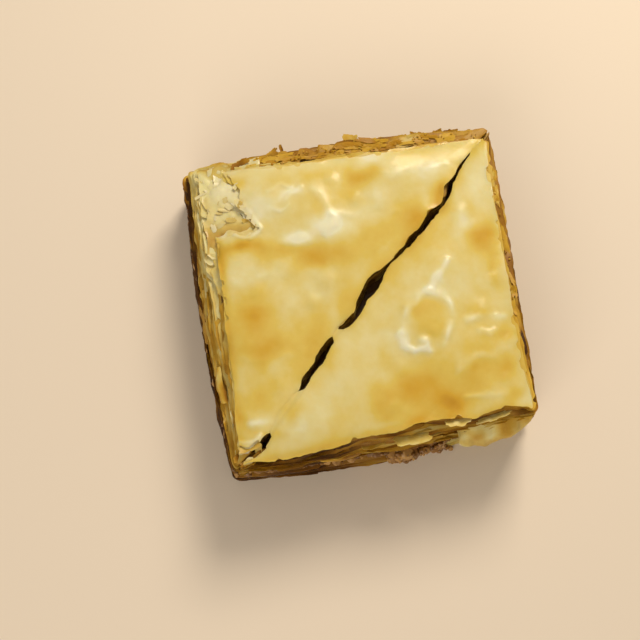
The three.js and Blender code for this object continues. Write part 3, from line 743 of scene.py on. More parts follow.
@dataclass
class ThinSheet:
    """One sheet of filo, cut to an outline, with torn places taken out of it.

    Attributes:
        outline: Its edge, seen from above.
        torn: Outlines of what is missing.
        height: Rule for its upper surface.
        thickness: How thick it is drawn.
        spacing: Distance between the points of its mesh.
        curl: How far its free edges lift or droop.
        seed: Chooses the pattern of the curl.
        jitter: How far its mesh points stray, as a share of the spacing.
        curl_reach: How far in from a free edge the curl dies away.
        edge_share: Share of its thickness that is left at a free edge.
        thinning_reach: How far in from a free edge it reaches its full thickness.
    """

    outline: Array
    torn: list[Array]
    height: HeightRule
    thickness: float = 0.3
    spacing: float = 0.8
    curl: float = 0.3
    seed: float = 1
    jitter: float = 0.3
    curl_reach: float = 1.1
    edge_share: float = 0.45
    thinning_reach: float = 0.9

    def covers(self, points: Array) -> Array:
        """Whether points lie on the sheet and in none of its torn places.

        Args:
            points: Their (x, y) places.

        Returns:
            True or False for each.
        """
        covered = inside(points, self.outline)
        for hole in self.torn:
            covered &= ~inside(points, hole)
        return covered

    def plan(self) -> tuple[Array, Array]:
        """Fills the outline with triangles, seen from above.

        Returns:
            The (x, y) points and the triangles.
        """
        low, high = self.outline.min(0), self.outline.max(0)
        rows = np.arange(low[1], high[1], self.spacing * TRIANGLE_HEIGHT)
        columns = np.arange(low[0], high[0], self.spacing)
        gx, gy = np.meshgrid(columns, rows)
        gx = gx + 0.5 * self.spacing * (np.arange(len(rows)) % 2)[:, None]
        grid = np.stack([gx.ravel(), gy.ravel()], 1)
        stray = [chance(grid[:, 0] * 7, grid[:, 1] * 7, self.seed + n) - 0.5 for n in (1, 2)]
        grid += self.jitter * self.spacing * np.stack(stray, 1)
        grid = grid[self.covers(grid)]
        loops = [self.outline, *self.torn]
        edges, start = [], 0
        for loop in loops:
            edges += [(start + n, start + (n + 1) % len(loop)) for n in range(len(loop))]
            start += len(loop)
        spots = np.concatenate([*loops, grid])
        verts, _, faces, _, _, _ = delaunay_2d_cdt([Vector(p) for p in spots], edges, [], 0, 1e-5)
        flat = np.array([tuple(v) for v in verts])
        triangles = np.array(faces)
        kept = triangles[self.covers(flat[triangles].mean(1))]
        used, renumbered = np.unique(kept, return_inverse=True)
        return flat[used], renumbered.reshape(-1, 3)

    def gap_to_edge(self, flat: Array, border: Array) -> Array:
        """How far points lie from the nearest point of the sheet's free edges.

        Args:
            flat: Their (x, y) places.
            border: The points of the free edges.

        Returns:
            One distance for each point.
        """
        gap = np.zeros(len(flat))
        for chunk in np.array_split(np.arange(len(flat)), max(1, len(flat) // CHUNK)):
            away = flat[chunk][:, None] - border[None]
            gap[chunk] = np.sqrt((away**2).sum(2).min(1))
        return gap

    def shell(self) -> tuple[Array, Array]:
        """Gives the plan its height, curled edges and thickness.

        Returns:
            The points and triangles of a closed shell.
        """
        flat, top = self.plan()
        edges = np.concatenate([top[:, [0, 1]], top[:, [1, 2]], top[:, [2, 0]]])
        keys = {(a, b) for a, b in edges.tolist()}
        rim = np.array([(a, b) for a, b in edges.tolist() if (b, a) not in keys])
        x, y = flat[:, 0], flat[:, 1]
        gap = self.gap_to_edge(flat, flat[np.unique(rim)])
        curled = self.curl * (0.2 + noise(x / 4.5, y / 4.5, self.seed + 5))
        z = self.height(x, y) + curled * np.exp(-gap / self.curl_reach)
        thick = self.thickness * mix(self.edge_share, 1, step_up(gap, 0, self.thinning_reach))
        upper = np.stack([x, y, z], 1)
        lower = np.stack([x, y, z - thick], 1)
        count = len(flat)
        a, b = rim[:, 0], rim[:, 1]
        walls = np.concatenate([np.stack([a, a + count, b], 1), np.stack([b, a + count, b + count], 1)])
        return np.concatenate([upper, lower]), np.concatenate([top, top[:, ::-1] + count, walls])


# --- finishes ------------------------------------------------------------------------------------


def linear(code: str) -> tuple[float, float, float, float]:
    """An sRGB hex colour as linear red, green, blue and alpha.

    Args:
        code: The colour, such as #c59a34.

    Returns:
        The linear values.
    """
    parts = [int(code[n : n + 2], 16) / 255 for n in (1, 3, 5)]
    bent = [c / 12.92 if c <= 0.04045 else ((c + 0.055) / 1.055) ** 2.4 for c in parts]
    return (*bent, 1.0)


def add_node(tree: bpy.types.NodeTree, kind: str, inputs: dict | None = None, **settings) -> bpy.types.Node:
    """Adds a node, sets it up and joins it to others.

    Args:
        tree: The material's or world's nodes.
        kind: Blender's name for the node.
        inputs: Values or other nodes' sockets for its inputs.
        **settings: Values for its own properties.

    Returns:
        The node.
    """
    node = tree.nodes.new(kind)
    for key, value in settings.items():
        setattr(node, key, value)
    for key, value in (inputs or {}).items():
        if isinstance(value, bpy.types.NodeSocket):
            tree.links.new(value, node.inputs[key])
        else:
            node.inputs[key].default_value = value
    return node


def per_mm(size_mm: float) -> float:
    """A texture scale whose pattern repeats about every size_mm millimetres."""
    return 1 / (size_mm * MM)


def empty_material(name: str) -> bpy.types.Material:
    """A material whose node tree is still empty.

    Args:
        name: Its name.

    Returns:
        The material.
    """
    material = bpy.data.materials.new(name)
    material.use_nodes = True
    material.node_tree.nodes.clear()
    return material


@dataclass(frozen=True)
class BakedFilo:
    """Filo: paper-thin wheat dough, brushed with butter, baked crisp and soaked with sugar syrup.

    The oven turns it from cream through gold to toasted brown. The syrup lies on it as a clear
    glossy coat, and light goes a little way into the dough before it comes back out.

    Attributes:
        name: What the finish is called.
        bakes: Its colours from unbaked to toasted.
        syrup: Weight of the clear coat.
        syrup_roughness: How rough the coat is.
        dough_roughness: How rough the dough is below it.
        glow: How much light travels inside.
        shine: The dough's own shine, which syrup of nearly the same index takes away.
        freckles: How strongly the baking varies over a millimetre or two.
        fibre_depth: How deep the dough's fine crinkles are drawn.
        freckle_mm: Size of the freckles where butter fried the dough.
        cloud_mm: Size of its broad darker and lighter clouds.
        clouds: How strongly the baking varies over them.
        fibre_mm: Size of the fine crinkles.
        crinkle_mm: How far the crinkles rise.
        bake_stops: Where on the way from unbaked to toasted each colour lies.
    """

    name: str
    bakes: tuple[str, str, str, str, str]
    syrup: float
    syrup_roughness: float
    dough_roughness: float
    glow: float
    shine: float = 0.3
    freckles: float = 0.24
    fibre_depth: float = 0.25
    freckle_mm: float = 1.5
    cloud_mm: float = 7.0
    clouds: float = 0.3
    fibre_mm: float = 1.1
    crinkle_mm: float = 0.25
    bake_stops: tuple[float, ...] = (0.0, 0.18, 0.4, 0.68, 0.96)

    @cache
    def make(self) -> bpy.types.Material:
        """Builds the material.

        Returns:
            The material.
        """
        material = empty_material(self.name)
        node = partial(add_node, material.node_tree)
        place = node("ShaderNodeTexCoord").outputs["Object"]
        brown = node("ShaderNodeAttribute", attribute_name="browning_and_painted_light").outputs["Fac"]
        freckles = node("ShaderNodeTexNoise", {
            "Vector": place, "Scale": per_mm(self.freckle_mm), "Detail": 5.0, "Roughness": 0.6,
        })
        clouds = node("ShaderNodeTexNoise", {"Vector": place, "Scale": per_mm(self.cloud_mm), "Detail": 3.0})
        # Each noise runs from 0 to 1 and is moved to swing about zero.
        speckled, clouded = (
            node("ShaderNodeMath", {
                0: pattern.outputs["Fac"], 1: strength, 2: -0.5 * strength,
            }, operation="MULTIPLY_ADD")
            for pattern, strength in ((freckles, self.freckles), (clouds, self.clouds))
        )
        marks = node("ShaderNodeMath", {0: speckled.outputs[0], 1: clouded.outputs[0]}, operation="ADD")
        bake = node("ShaderNodeMath", {0: brown, 1: marks.outputs[0]}, operation="ADD", use_clamp=True)
        ramp = node("ShaderNodeValToRGB", {"Fac": bake.outputs[0]})
        stops = ramp.color_ramp.elements
        while len(stops) < len(self.bakes):
            stops.new(0.5)
        for stop, position, code in zip(stops, self.bake_stops, self.bakes):
            stop.position = position
            stop.color = linear(code)
        fibres = node("ShaderNodeTexNoise", {
            "Vector": place, "Scale": per_mm(self.fibre_mm), "Detail": 6.0, "Roughness": 0.62,
        })
        # The syrup fills the finest crinkles, so its film is smoother than the dough below.
        bump, film = (
            node("ShaderNodeBump", {
                "Height": fibres.outputs["Fac"], "Strength": depth, "Distance": self.crinkle_mm * MM,
            })
            for depth in (self.fibre_depth, 0.4 * self.fibre_depth)
        )
        wet = node("ShaderNodeMapRange", {
            "Value": clouds.outputs["Fac"], "From Min": 0.3, "From Max": 0.7,
            "To Min": self.dough_roughness - 0.08, "To Max": self.dough_roughness + 0.1,
        })
        skin = node("ShaderNodeBsdfPrincipled", {
            "Base Color": ramp.outputs["Color"], "Roughness": wet.outputs[0], "IOR": 1.45,
            "Specular IOR Level": self.shine, "Subsurface Weight": self.glow,
            "Subsurface Radius": (1.0, 0.7, 0.3), "Subsurface Scale": 1.4 * MM,
            "Coat Weight": self.syrup, "Coat IOR": 1.47, "Coat Roughness": self.syrup_roughness,
            "Normal": bump.outputs[0], "Coat Normal": film.outputs[0],
        })
        node("ShaderNodeOutputMaterial", {"Surface": skin.outputs[0]})
        return material


@dataclass(frozen=True)
class ChoppedWalnut:
    """Walnut kernels chopped by knife and wetted with syrup: thin brown skin round paler flesh.

    Attributes:
        name: What the finish is called.
        flesh: Colour of the cut flesh.
        skin: Colour of the skin.
        dark: Colour of the skin where it is darkest.
        vein_mm: Size of the veins in the skin, as on a walnut half.
        veins: How strongly they change its colour.
    """

    name: str
    flesh: str
    skin: str
    dark: str
    vein_mm: float = 0.9
    veins: float = 0.5

    @cache
    def make(self) -> bpy.types.Material:
        """Builds the material.

        Returns:
            The material.
        """
        material = empty_material(self.name)
        node = partial(add_node, material.node_tree)
        place = node("ShaderNodeTexCoord").outputs["Object"]
        brown = node("ShaderNodeAttribute", attribute_name="browning_and_painted_light").outputs["Fac"]
        veins = node("ShaderNodeTexNoise", {
            "Vector": place, "Scale": per_mm(self.vein_mm), "Detail": 6.0, "Distortion": 0.6,
        }).outputs["Fac"]
        shade = node("ShaderNodeMath", {
            0: veins, 1: self.veins, 2: -0.5 * self.veins,
        }, operation="MULTIPLY_ADD")
        tone = node("ShaderNodeMath", {0: brown, 1: shade.outputs[0]}, operation="ADD", use_clamp=True)
        # The first half of the tones leads from flesh to skin, the second on to the darkest skin.
        colour = linear(self.flesh)
        for low, high, darker in ((0.15, 0.5, self.skin), (0.5, 1.0, self.dark)):
            part = node("ShaderNodeMapRange", {"Value": tone.outputs[0], "From Min": low, "From Max": high})
            colour = node("ShaderNodeMix", {
                0: part.outputs[0], 6: colour, 7: linear(darker),
            }, data_type="RGBA").outputs[2]
        bump = node("ShaderNodeBump", {"Height": veins, "Strength": 0.5, "Distance": 0.3 * MM})
        kernel = node("ShaderNodeBsdfPrincipled", {
            "Base Color": colour, "Roughness": 0.5, "IOR": 1.46, "Subsurface Weight": 0.08,
            "Subsurface Radius": (1.0, 0.5, 0.25), "Subsurface Scale": 0.6 * MM, "Coat Weight": 0.45,
            "Coat IOR": 1.47, "Coat Roughness": 0.22, "Normal": bump.outputs[0],
        })
        node("ShaderNodeOutputMaterial", {"Surface": kernel.outputs[0]})
        return material


@dataclass(frozen=True)
class MattePaper:
    """Plain heavy paper for the floor of the set: dull, even and pale.

    Attributes:
        name: What the finish is called.
        colour: Its colour.
        roughness: How rough it is.
    """

    name: str
    colour: str
    roughness: float = 0.9

    @cache
    def make(self) -> bpy.types.Material:
        """Builds the material.

        Returns:
            The material.
        """
        material = bpy.data.materials.new(self.name)
        material.use_nodes = True
        sheet = material.node_tree.nodes["Principled BSDF"]
        sheet.inputs["Base Color"].default_value = linear(self.colour)
        sheet.inputs["Roughness"].default_value = self.roughness
        return material


# The covering sheets: butter and syrup brushed on the outside, which gives a soft wet gloss over
# cream, gold and a few brown patches. Its palest cream is the colour of the painted highlights.
GLAZED_SHEET = BakedFilo(
    "syrup_glazed_filo", ("#f6ecc6", "#ead79a", "#e2c261", "#d6a739", "#b8841f"), 0.5, 0.22, 0.42, 0.4,
    shine=0.06, freckles=0.07, fibre_depth=0.12,
)
# The edges of the leaves, cut by the knife and baked dry: nearly dull, from straw to dark brown.
CRISP_LEAVES = BakedFilo(
    "crisp_filo_edges", ("#e6db9e", "#d9c06c", "#c59a34", "#986815", "#4a2c08"), 0.2, 0.3, 0.5, 0.2,
    shine=0.16,
)
# The leaves that were covered until the corner tore off: cream, tender and moist with syrup.
TORN_LEAVES = BakedFilo(
    "torn_filo", ("#f1e6b8", "#e6d698", "#d6b863", "#bd8f38", "#96601e"), 0.5, 0.24, 0.45, 0.3,
    freckles=0.12,
)
# Flakes broken off the crisp edges: dry, golden to toasted.
TOASTED_FLAKES = BakedFilo(
    "toasted_filo_flakes", ("#ead68a", "#dfbf5a", "#cb9f32", "#ad7a19", "#774c0c"), 0.14, 0.3, 0.5, 0.15,
    shine=0.12, freckles=0.12,
)
# The bottom leaves, fried in butter and soaked: the wettest and the brownest.
SOAKED_LEAVES = BakedFilo(
    "soaked_filo", ("#dccb80", "#ccb154", "#b0862c", "#825717", "#45290a"), 0.6, 0.2, 0.42, 0.25
)
# What shows between the leaves and in the cut: dull brown, painted shade of the gaps.
GAP_SHADE_FILO = BakedFilo(
    "inner_filo_painted_shade", ("#94733a", "#8a6832", "#785628", "#5c3f1a", "#3a260d"), 0.0, 0.4, 0.7, 0.0
)
WALNUT = ChoppedWalnut("chopped_walnut_in_syrup", "#c09248", "#8e6124", "#55360f")
FLOOR_PAPER = MattePaper("pale_floor_paper", "#e9dccb")


# --- loose flakes --------------------------------------------------------------------------------


@dataclass(frozen=True)
class Flake:
    """A chip of baked leaf that lies on the piece.

    Attributes:
        at: Where its middle is.
        size: Its length and width.
        turn_deg: Which way its length points, from +X towards +Y.
        tilt_deg: How far its length and its width slope up.
        curl: How far its ends lift above its middle.
        brown: How toasted it is, from 0 to 1.
        seed: Chooses its outline.
    """

    at: tuple[float, float, float]
    size: Pair
    turn_deg: float
    tilt_deg: Pair = (0, 0)
    curl: float = 0.3
    brown: float = 0.6
    seed: float = 1

    def shell(self, thickness: float = 0.16, points: int = 40) -> tuple[Array, Array]:
        """Builds the flake as a closed shell with a ragged outline.

        Args:
            thickness: How thick it is.
            points: How many points its outline has.

        Returns:
            The points and the triangles.
        """
        angle = np.arange(points) / points * 2 * np.pi
        square = 1 / np.maximum(np.abs(np.cos(angle)), np.abs(np.sin(angle)))
        ragged = mix(1, square, 0.6) * (1 + 0.26 * noise(angle * 1.7, self.seed * 3.7, 141))
        ragged = ragged + 0.16 * noise(angle * 4.3, self.seed, 142) + 0.1 * noise(angle * 9, self.seed, 144)
        upper, lower = [], []
        for share in (0.35, 0.7, 0.93, 1.0):
            x = 0.5 * self.size[0] * share * ragged * np.cos(angle)
            y = 0.5 * self.size[1] * share * ragged * np.sin(angle)
            lift = self.curl * (2 * x / self.size[0]) ** 2
            lift = lift + 0.16 * noise(x / 1.3, y / 1.3, self.seed + 143)
            thick = thickness * (0.4 if share == 1.0 else 1.0)
            upper.append(np.column_stack([x, y, lift]))
            lower.append(np.column_stack([x, y, lift - thick]))
        spots, faces = join_rings([*lower, *upper[::-1]], capped=True)
        turn, pitch, roll = np.radians((self.turn_deg, *self.tilt_deg))
        spin = Matrix.Rotation(turn, 3, "Z") @ Matrix.Rotation(-pitch, 3, "Y") @ Matrix.Rotation(roll, 3, "X")
        return spots @ np.array(spin).T + np.array(self.at), faces


# --- the top stack -------------------------------------------------------------------------------

# How toasted the leaves' edges are at the back, left, front and right walls and in the cut.
LEAF_TOAST = np.array([0.54, 0.22, 0.44, 0.6, 0.42])


@dataclass
class TopHalf:
    """One half of the crisp top stack: its thin leaves and the skin of sheets that covers them.

    Attributes:
        part: Which half it is.
        node: The solid that it takes the place of.
        seed: Chooses its disorder.
        laps: Stretches of the cut that its uppermost sheet covers, as shares of the cut's length
            where they start and end, and how far the sheet reaches over.
        leaves: How many leaves it has below the skin.
        leaf_thickness: How thick each is drawn.
        leaf_step: Distance between points along a leaf's edge.
        tuck: How far the leaves lie back under the skin along the cut.
        covers: The covering sheets from the uppermost down: how far below the first each lies, how
            far it reaches past the first, and the distance between its mesh points.
        lap_lift: How far the uppermost sheet rises where it reaches over the cut.
        sunk: How far the skin sinks at the middle of the torn corner.
    """

    part: Part
    node: str
    seed: float
    laps: tuple[tuple[float, float, float], ...] = ()
    leaves: int = 22
    leaf_thickness: float = 0.2
    leaf_step: float = 0.42
    tuck: float = 0.3
    covers: tuple[tuple[float, float, float], ...] = ((0.0, 0, 0.4), (0.36, 0.45, 1.0), (0.72, 1.0, 1.0))
    lap_lift: float = 0.34
    sunk: float = 0.35

    def wall(self, walk: Walk, level: float, tuck: float) -> Array:
        """The half's outline at some height, with rounded corners.

        Args:
            walk: Places round the half.
            level: The height as a share of the stack's.
            tuck: How far the faces of the cut lie back.

        Returns:
            One (x, y) for each place.
        """
        slope = (level ** TOP_WALL[walk.edge])[:, None]
        opening = mix(CUT_TAPER, 1, level)
        low, high = (walk.points(outline, self.part, opening, tuck) for outline in (BELT, SHOULDER))
        return soften(mix(low, high, slope), CORNER_ROUNDING)

    def height(self, x: Array, y: Array, level: float) -> Array:
        """Height of a leaf's upper side, which lies more like the top sheet the higher it is."""
        return mix(NUT_TOP + LAYER_GAP + self.leaf_thickness, sheet_height(x, y) - SKIN_THICKNESS, level)

    def leaf_reach(self, walk: Walk, number: int, level: float) -> Array:
        """How far a leaf's torn edge stands out of the wall.

        Args:
            walk: Places round the half.
            number: The leaf's place in the stack, counted from below.
            level: Its height as a share of the stack's.

        Returns:
            One distance for each place.
        """
        s, k, seed = walk.arc, number, self.seed * 10
        torn = ripples(s, k, seed, (0.5, 12, 0.6, 0), (0.3, 3.6, 1.4, 1), (0.14, 1.1, 3.1, 2))
        torn = torn + 0.45 * (chance(k, 5, seed) - 0.6)
        chipped = -1.4 * step_up(noise(s / 4.5, k * 1.9, seed + 3), 0.4, 0.7)
        # At the back and on the right the upper leaves have crumbled away in steps.
        crumbled = np.isin(walk.edge, (BACK, RIGHT)) * step_up(level, 0.7, 1)
        steps = -2.4 * crumbled * step_up(noise(s / 6.5, k * 2.3, seed + 8), -0.1, 0.7)
        under = -0.6 * soften((walk.edge == FRONT).astype(float), 10) * step_up(level, 0.7, 0.95)
        # On the left the uppermost leaves step back one behind the other.
        ledge = (walk.edge == LEFT) * step_up(walk.share, 0.3, 0.45)
        under = under - 1.65 * soften(ledge, 10) * step_up(level, 0.66, 1.04)
        on_cut = -0.3 * (1 + noise(s / 1.4, k * 2.2, seed + 4))
        shut = step_up(soften(walk.on_cut.astype(float), 6), 0.1, 0.6)
        return mix(torn + chipped + steps + under, on_cut, shut)

    def leaf_toast_and_shade(self, walk: Walk, number: int, level: float) -> Array:
        """How brown a leaf's edge is, with painted shade on the front and at the foot of the left side.

        Args:
            walk: Places round the half.
            number: The leaf's place in the stack, counted from below.
            level: Its height as a share of the stack's.

        Returns:
            One value for each place.
        """
        s, k, seed = walk.arc, number, self.seed * 10
        toast_and_shade = LEAF_TOAST[walk.edge]
        # The front is toasted in patches; its upper leaves and its left end are darkened as painted shade.
        front_patches_and_shade = 0.16 * step_up(level, 0.6, 0.85) + 0.2 * noise(walk.share * 6, k * 0.9, seed + 11)
        front_patches_and_shade = front_patches_and_shade - 0.14 * step_up(walk.share, 0.74, 0.84) * (1 - step_up(level, 0.75, 0.9))
        front_patches_and_shade = front_patches_and_shade + 0.26 * (1 - step_up(walk.share, 0.25, 0.5))
        toast_and_shade = toast_and_shade + (walk.edge == FRONT) * front_patches_and_shade
        # The left side's foot is darkened as painted shade, and both sides stayed pale by the torn corner.
        foot_shade_and_leaf_tone = 0.7 * (1 - step_up(level, 0.26, 0.54)) + 0.44 * (chance(k, 9, seed) - 0.6)
        by_corner = 0.34 * (1 - step_up(walk.share, 0.3, 0.44)) * step_up(level, 0.4, 0.7)
        toast_and_shade = toast_and_shade + (walk.edge == LEFT) * (foot_shade_and_leaf_tone - by_corner)
        toast_and_shade = toast_and_shade - (walk.edge == BACK) * 0.36 * step_up(walk.share, 0.82, 0.93)
        toast_and_shade = toast_and_shade - (walk.edge == BACK) * 0.14 * (1 - step_up(walk.share, 0.22, 0.4))
        toast_and_shade = soften(toast_and_shade, 10)
        return toast_and_shade + 0.24 * noise(s / 6, k * 1.1, seed + 7) + 0.36 * (chance(k, 8, seed) - 0.5)

    def leaf(self, number: int) -> Shell:
        """One leaf as a closed band whose outer edge is torn, bent and browned.

        Args:
            number: Its place in the stack, counted from below.

        Returns:
            Points, triangles and browning.
        """
        walk = Walk.round(self.part, self.leaf_step)
        s, k, seed = walk.arc, number, self.seed * 10
        # The leaves lie closer together in some places of the stack than in others.
        clump = 0.9 * noise(k / 2.3, 0.5, self.seed) + 0.3 * (chance(k, 3, self.seed) - 0.5)
        level = np.clip((k + 0.5 + clump) / self.leaves, 0.01, 0.99)
        ring = self.wall(walk, level, self.tuck)
        # The sharp tips beside the cut stay close to the wall.
        tips = np.minimum.reduce([np.abs(s - 2 * SIDE_SPAN), 2 * SIDE_SPAN + CUT_SPAN - s, s])
        calm = 1 - 0.9 * np.exp(-tips / 3)
        ring = ring + outward(ring) * (self.leaf_reach(walk, number, level) * calm)[:, None]
        bend = ripples(s, k, seed, (0.5, 9, 0.33, 5), (0.24, 2.8, 0.6, 6))
        bend = bend + 0.8 * step_up(noise(s / 6, k * 1.7, seed + 9), 0.45, 0.8)

        def lie(spots: Array, share: float, thick: float) -> Array:
            """Height of the leaf, bent at its edge and held between the nuts and the top sheet."""
            z = self.height(*spots.T, level) + bend * np.exp(-(1 - share) / 0.035)
            z = np.minimum(z, sheet_height(*spots.T) - SHEET_DROP - 0.75)
            return np.maximum(z, NUT_TOP + 0.1 + thick)

        shares = (1.0, 0.984, 0.9)
        points, faces = torn_band(ring, shares, self.leaf_thickness, 0.5, lie)
        # The very edge, where the first and the last ring of the band's two sides meet, is browner.
        edge_dark = np.zeros(2 * len(shares))
        edge_dark[len(shares) - 1 : len(shares) + 1] = 0.1
        return toned(points, faces, (self.leaf_toast_and_shade(walk, number, level)[None] + edge_dark[:, None]).ravel())

    def core(self) -> tuple[Array, Array]:
        """The closed body inside the leaves, which shuts the gaps between them.

        Returns:
            The points and the triangles.
        """
        walk = Walk.round(self.part, COARSE_STEP)
        floor = NUT_TOP + LAYER_GAP
        rings = []
        for level, share in ((0, 0.955), (0.35, 0.955), (0.7, 0.93), (1, 0.905)):
            spots = shrink(self.wall(walk, level, self.tuck + 0.9), share)
            top = sheet_height(*spots.T) - SHEET_DROP - 1.2
            z = np.minimum(self.height(*spots.T, level), top) - self.leaf_thickness
            rings.append(at_height(spots, np.maximum(z, floor)))
        inner = shrink(rings[-1][:, :2], 0.6)
        top = at_height(inner, sheet_height(*inner.T) - SHEET_DROP - 1.6)
        under = at_height(shrink(rings[0][:, :2], 0.6), floor)
        return join_rings([under, *rings, top], capped=True)

    def over_cut(self, share: Array, fade: float) -> Array:
        """How far the uppermost sheet reaches over the cut, place by place.

        Args:
            share: Share of the cut's length at each place.
            fade: Share of the length over which a lap grows to its full reach.

        Returns:
            The reach in millimetres.
        """
        reach = np.zeros(np.shape(share))
        for first, last, far in self.laps:
            reach += far * step_up(share, first - fade, first) * (1 - step_up(share, last, last + fade))
        return reach

    def skin_outline(self, spill: float, seed: float, lapped: bool) -> Array:
        """The edge of one of the covering sheets.

        Args:
            spill: How far it reaches past the uppermost sheet.
            seed: Chooses its raggedness.
            lapped: Whether it reaches over the cut in places.

        Returns:
            The outline.
        """
        walk = Walk.round(self.part, EDGE_STEP)
        ring = soften(walk.points(SHEET, self.part), 3)
        s = walk.arc
        ragged = ripples(s, 0, seed, (0.35, 9, 0, 0), (0.22, 2.7, 0, 1), (0.1, 0.9, 0, 2))
        ragged = ragged - 0.7 * step_up(noise(s / 2.2, 5, seed + 3), 0.55, 0.8)
        # The knife cut the sheet cleanly at the back right corner and tore it further on.
        jags = ripples(s, 0, seed, (0.3, 1.9, 0, 6), (0.2, 0.8, 0, 4))
        jags = jags * mix(0.1, 1, step_up(walk.share, 0.05, 0.16))
        cut_edge = np.minimum(jags, 0.12) - 0.4 * spill
        if lapped:
            cut_edge += self.over_cut(walk.share, 0.015) * (1 + 0.3 * noise(s / 2, 0, seed + 5))
        shut = step_up(soften(walk.on_cut.astype(float), 4), 0.1, 0.6)
        hem = spill * soften(HEM[walk.edge], 10)
        return ring + outward(ring) * mix(ragged + hem, cut_edge, shut)[:, None]

    def skin_height(self, drop: float, x: Array, y: Array) -> Array:
        """Height of a covering sheet, raised where it laps over the cut and sunk at the torn corner.

        Args:
            drop: How far it lies below the uppermost one.
            x: Places along X.
            y: Places along Y.

        Returns:
            One height for each place.
        """
        share, away = across_cut(x, y)
        side = 1 if self.part is Part.RIGHT else -1
        rise = self.lap_lift * step_up(side * away, -0.7, 0.3) * np.minimum(self.over_cut(share, 0.02), 1)
        sunk = self.sunk * np.exp(-((np.hypot(x - TORN_AT[0], y - TORN_AT[1]) / 5) ** 2))
        return top_surface(x, y) - drop - sunk + (rise if drop == 0 else 0)

    def skin(self) -> list[Shell]:
        """The covering sheets, from the uppermost down.

        Returns:
            One shell for each.
        """
        shells = []
        for depth, (drop, spill, spacing) in enumerate(self.covers):
            sheet = ThinSheet(
                self.skin_outline(spill, self.seed * 7 + depth * 11, depth == 0), self.torn_places(depth),
                partial(self.skin_height, drop), spacing=spacing, seed=self.seed + depth,
            )
            points, faces = sheet.shell()
            x, y = points[:, 0], points[:, 1]
            # The lower sheets show as browner edges, except by the tear and on the left.
            by_tear = 0.36 * np.exp(-np.hypot(x - TORN_AT[0], y - TORN_AT[1]) / 9)
            by_left = 0.3 * step_up(-x, 26, 29)
            shells.append(toned(
                points, faces, sheet_browning_and_highlights(x, y) + depth * (0.2 - np.maximum(by_tear, by_left))
            ))
        return shells

    def torn_places(self, depth: int) -> list[Array]:
        """Outlines of what is missing from a covering sheet, the uppermost having depth 0."""
        return []

    def build(self) -> None:
        """Makes the half's pieces."""
        leaves = [self.leaf(number) for number in range(self.leaves)]
        make_piece(f"{self.node}_leaves", leaves, CRISP_LEAVES.make(), (self.node,))
        # The core is coloured as painted shade in the gaps between the leaves.
        core = toned(*self.core(), 0.5)
        make_piece(f"{self.node}_core", [core], GAP_SHADE_FILO.make(), (self.node,))
        make_piece(f"{self.node}_skin", self.skin(), GLAZED_SHEET.make(), (self.node,), 60)


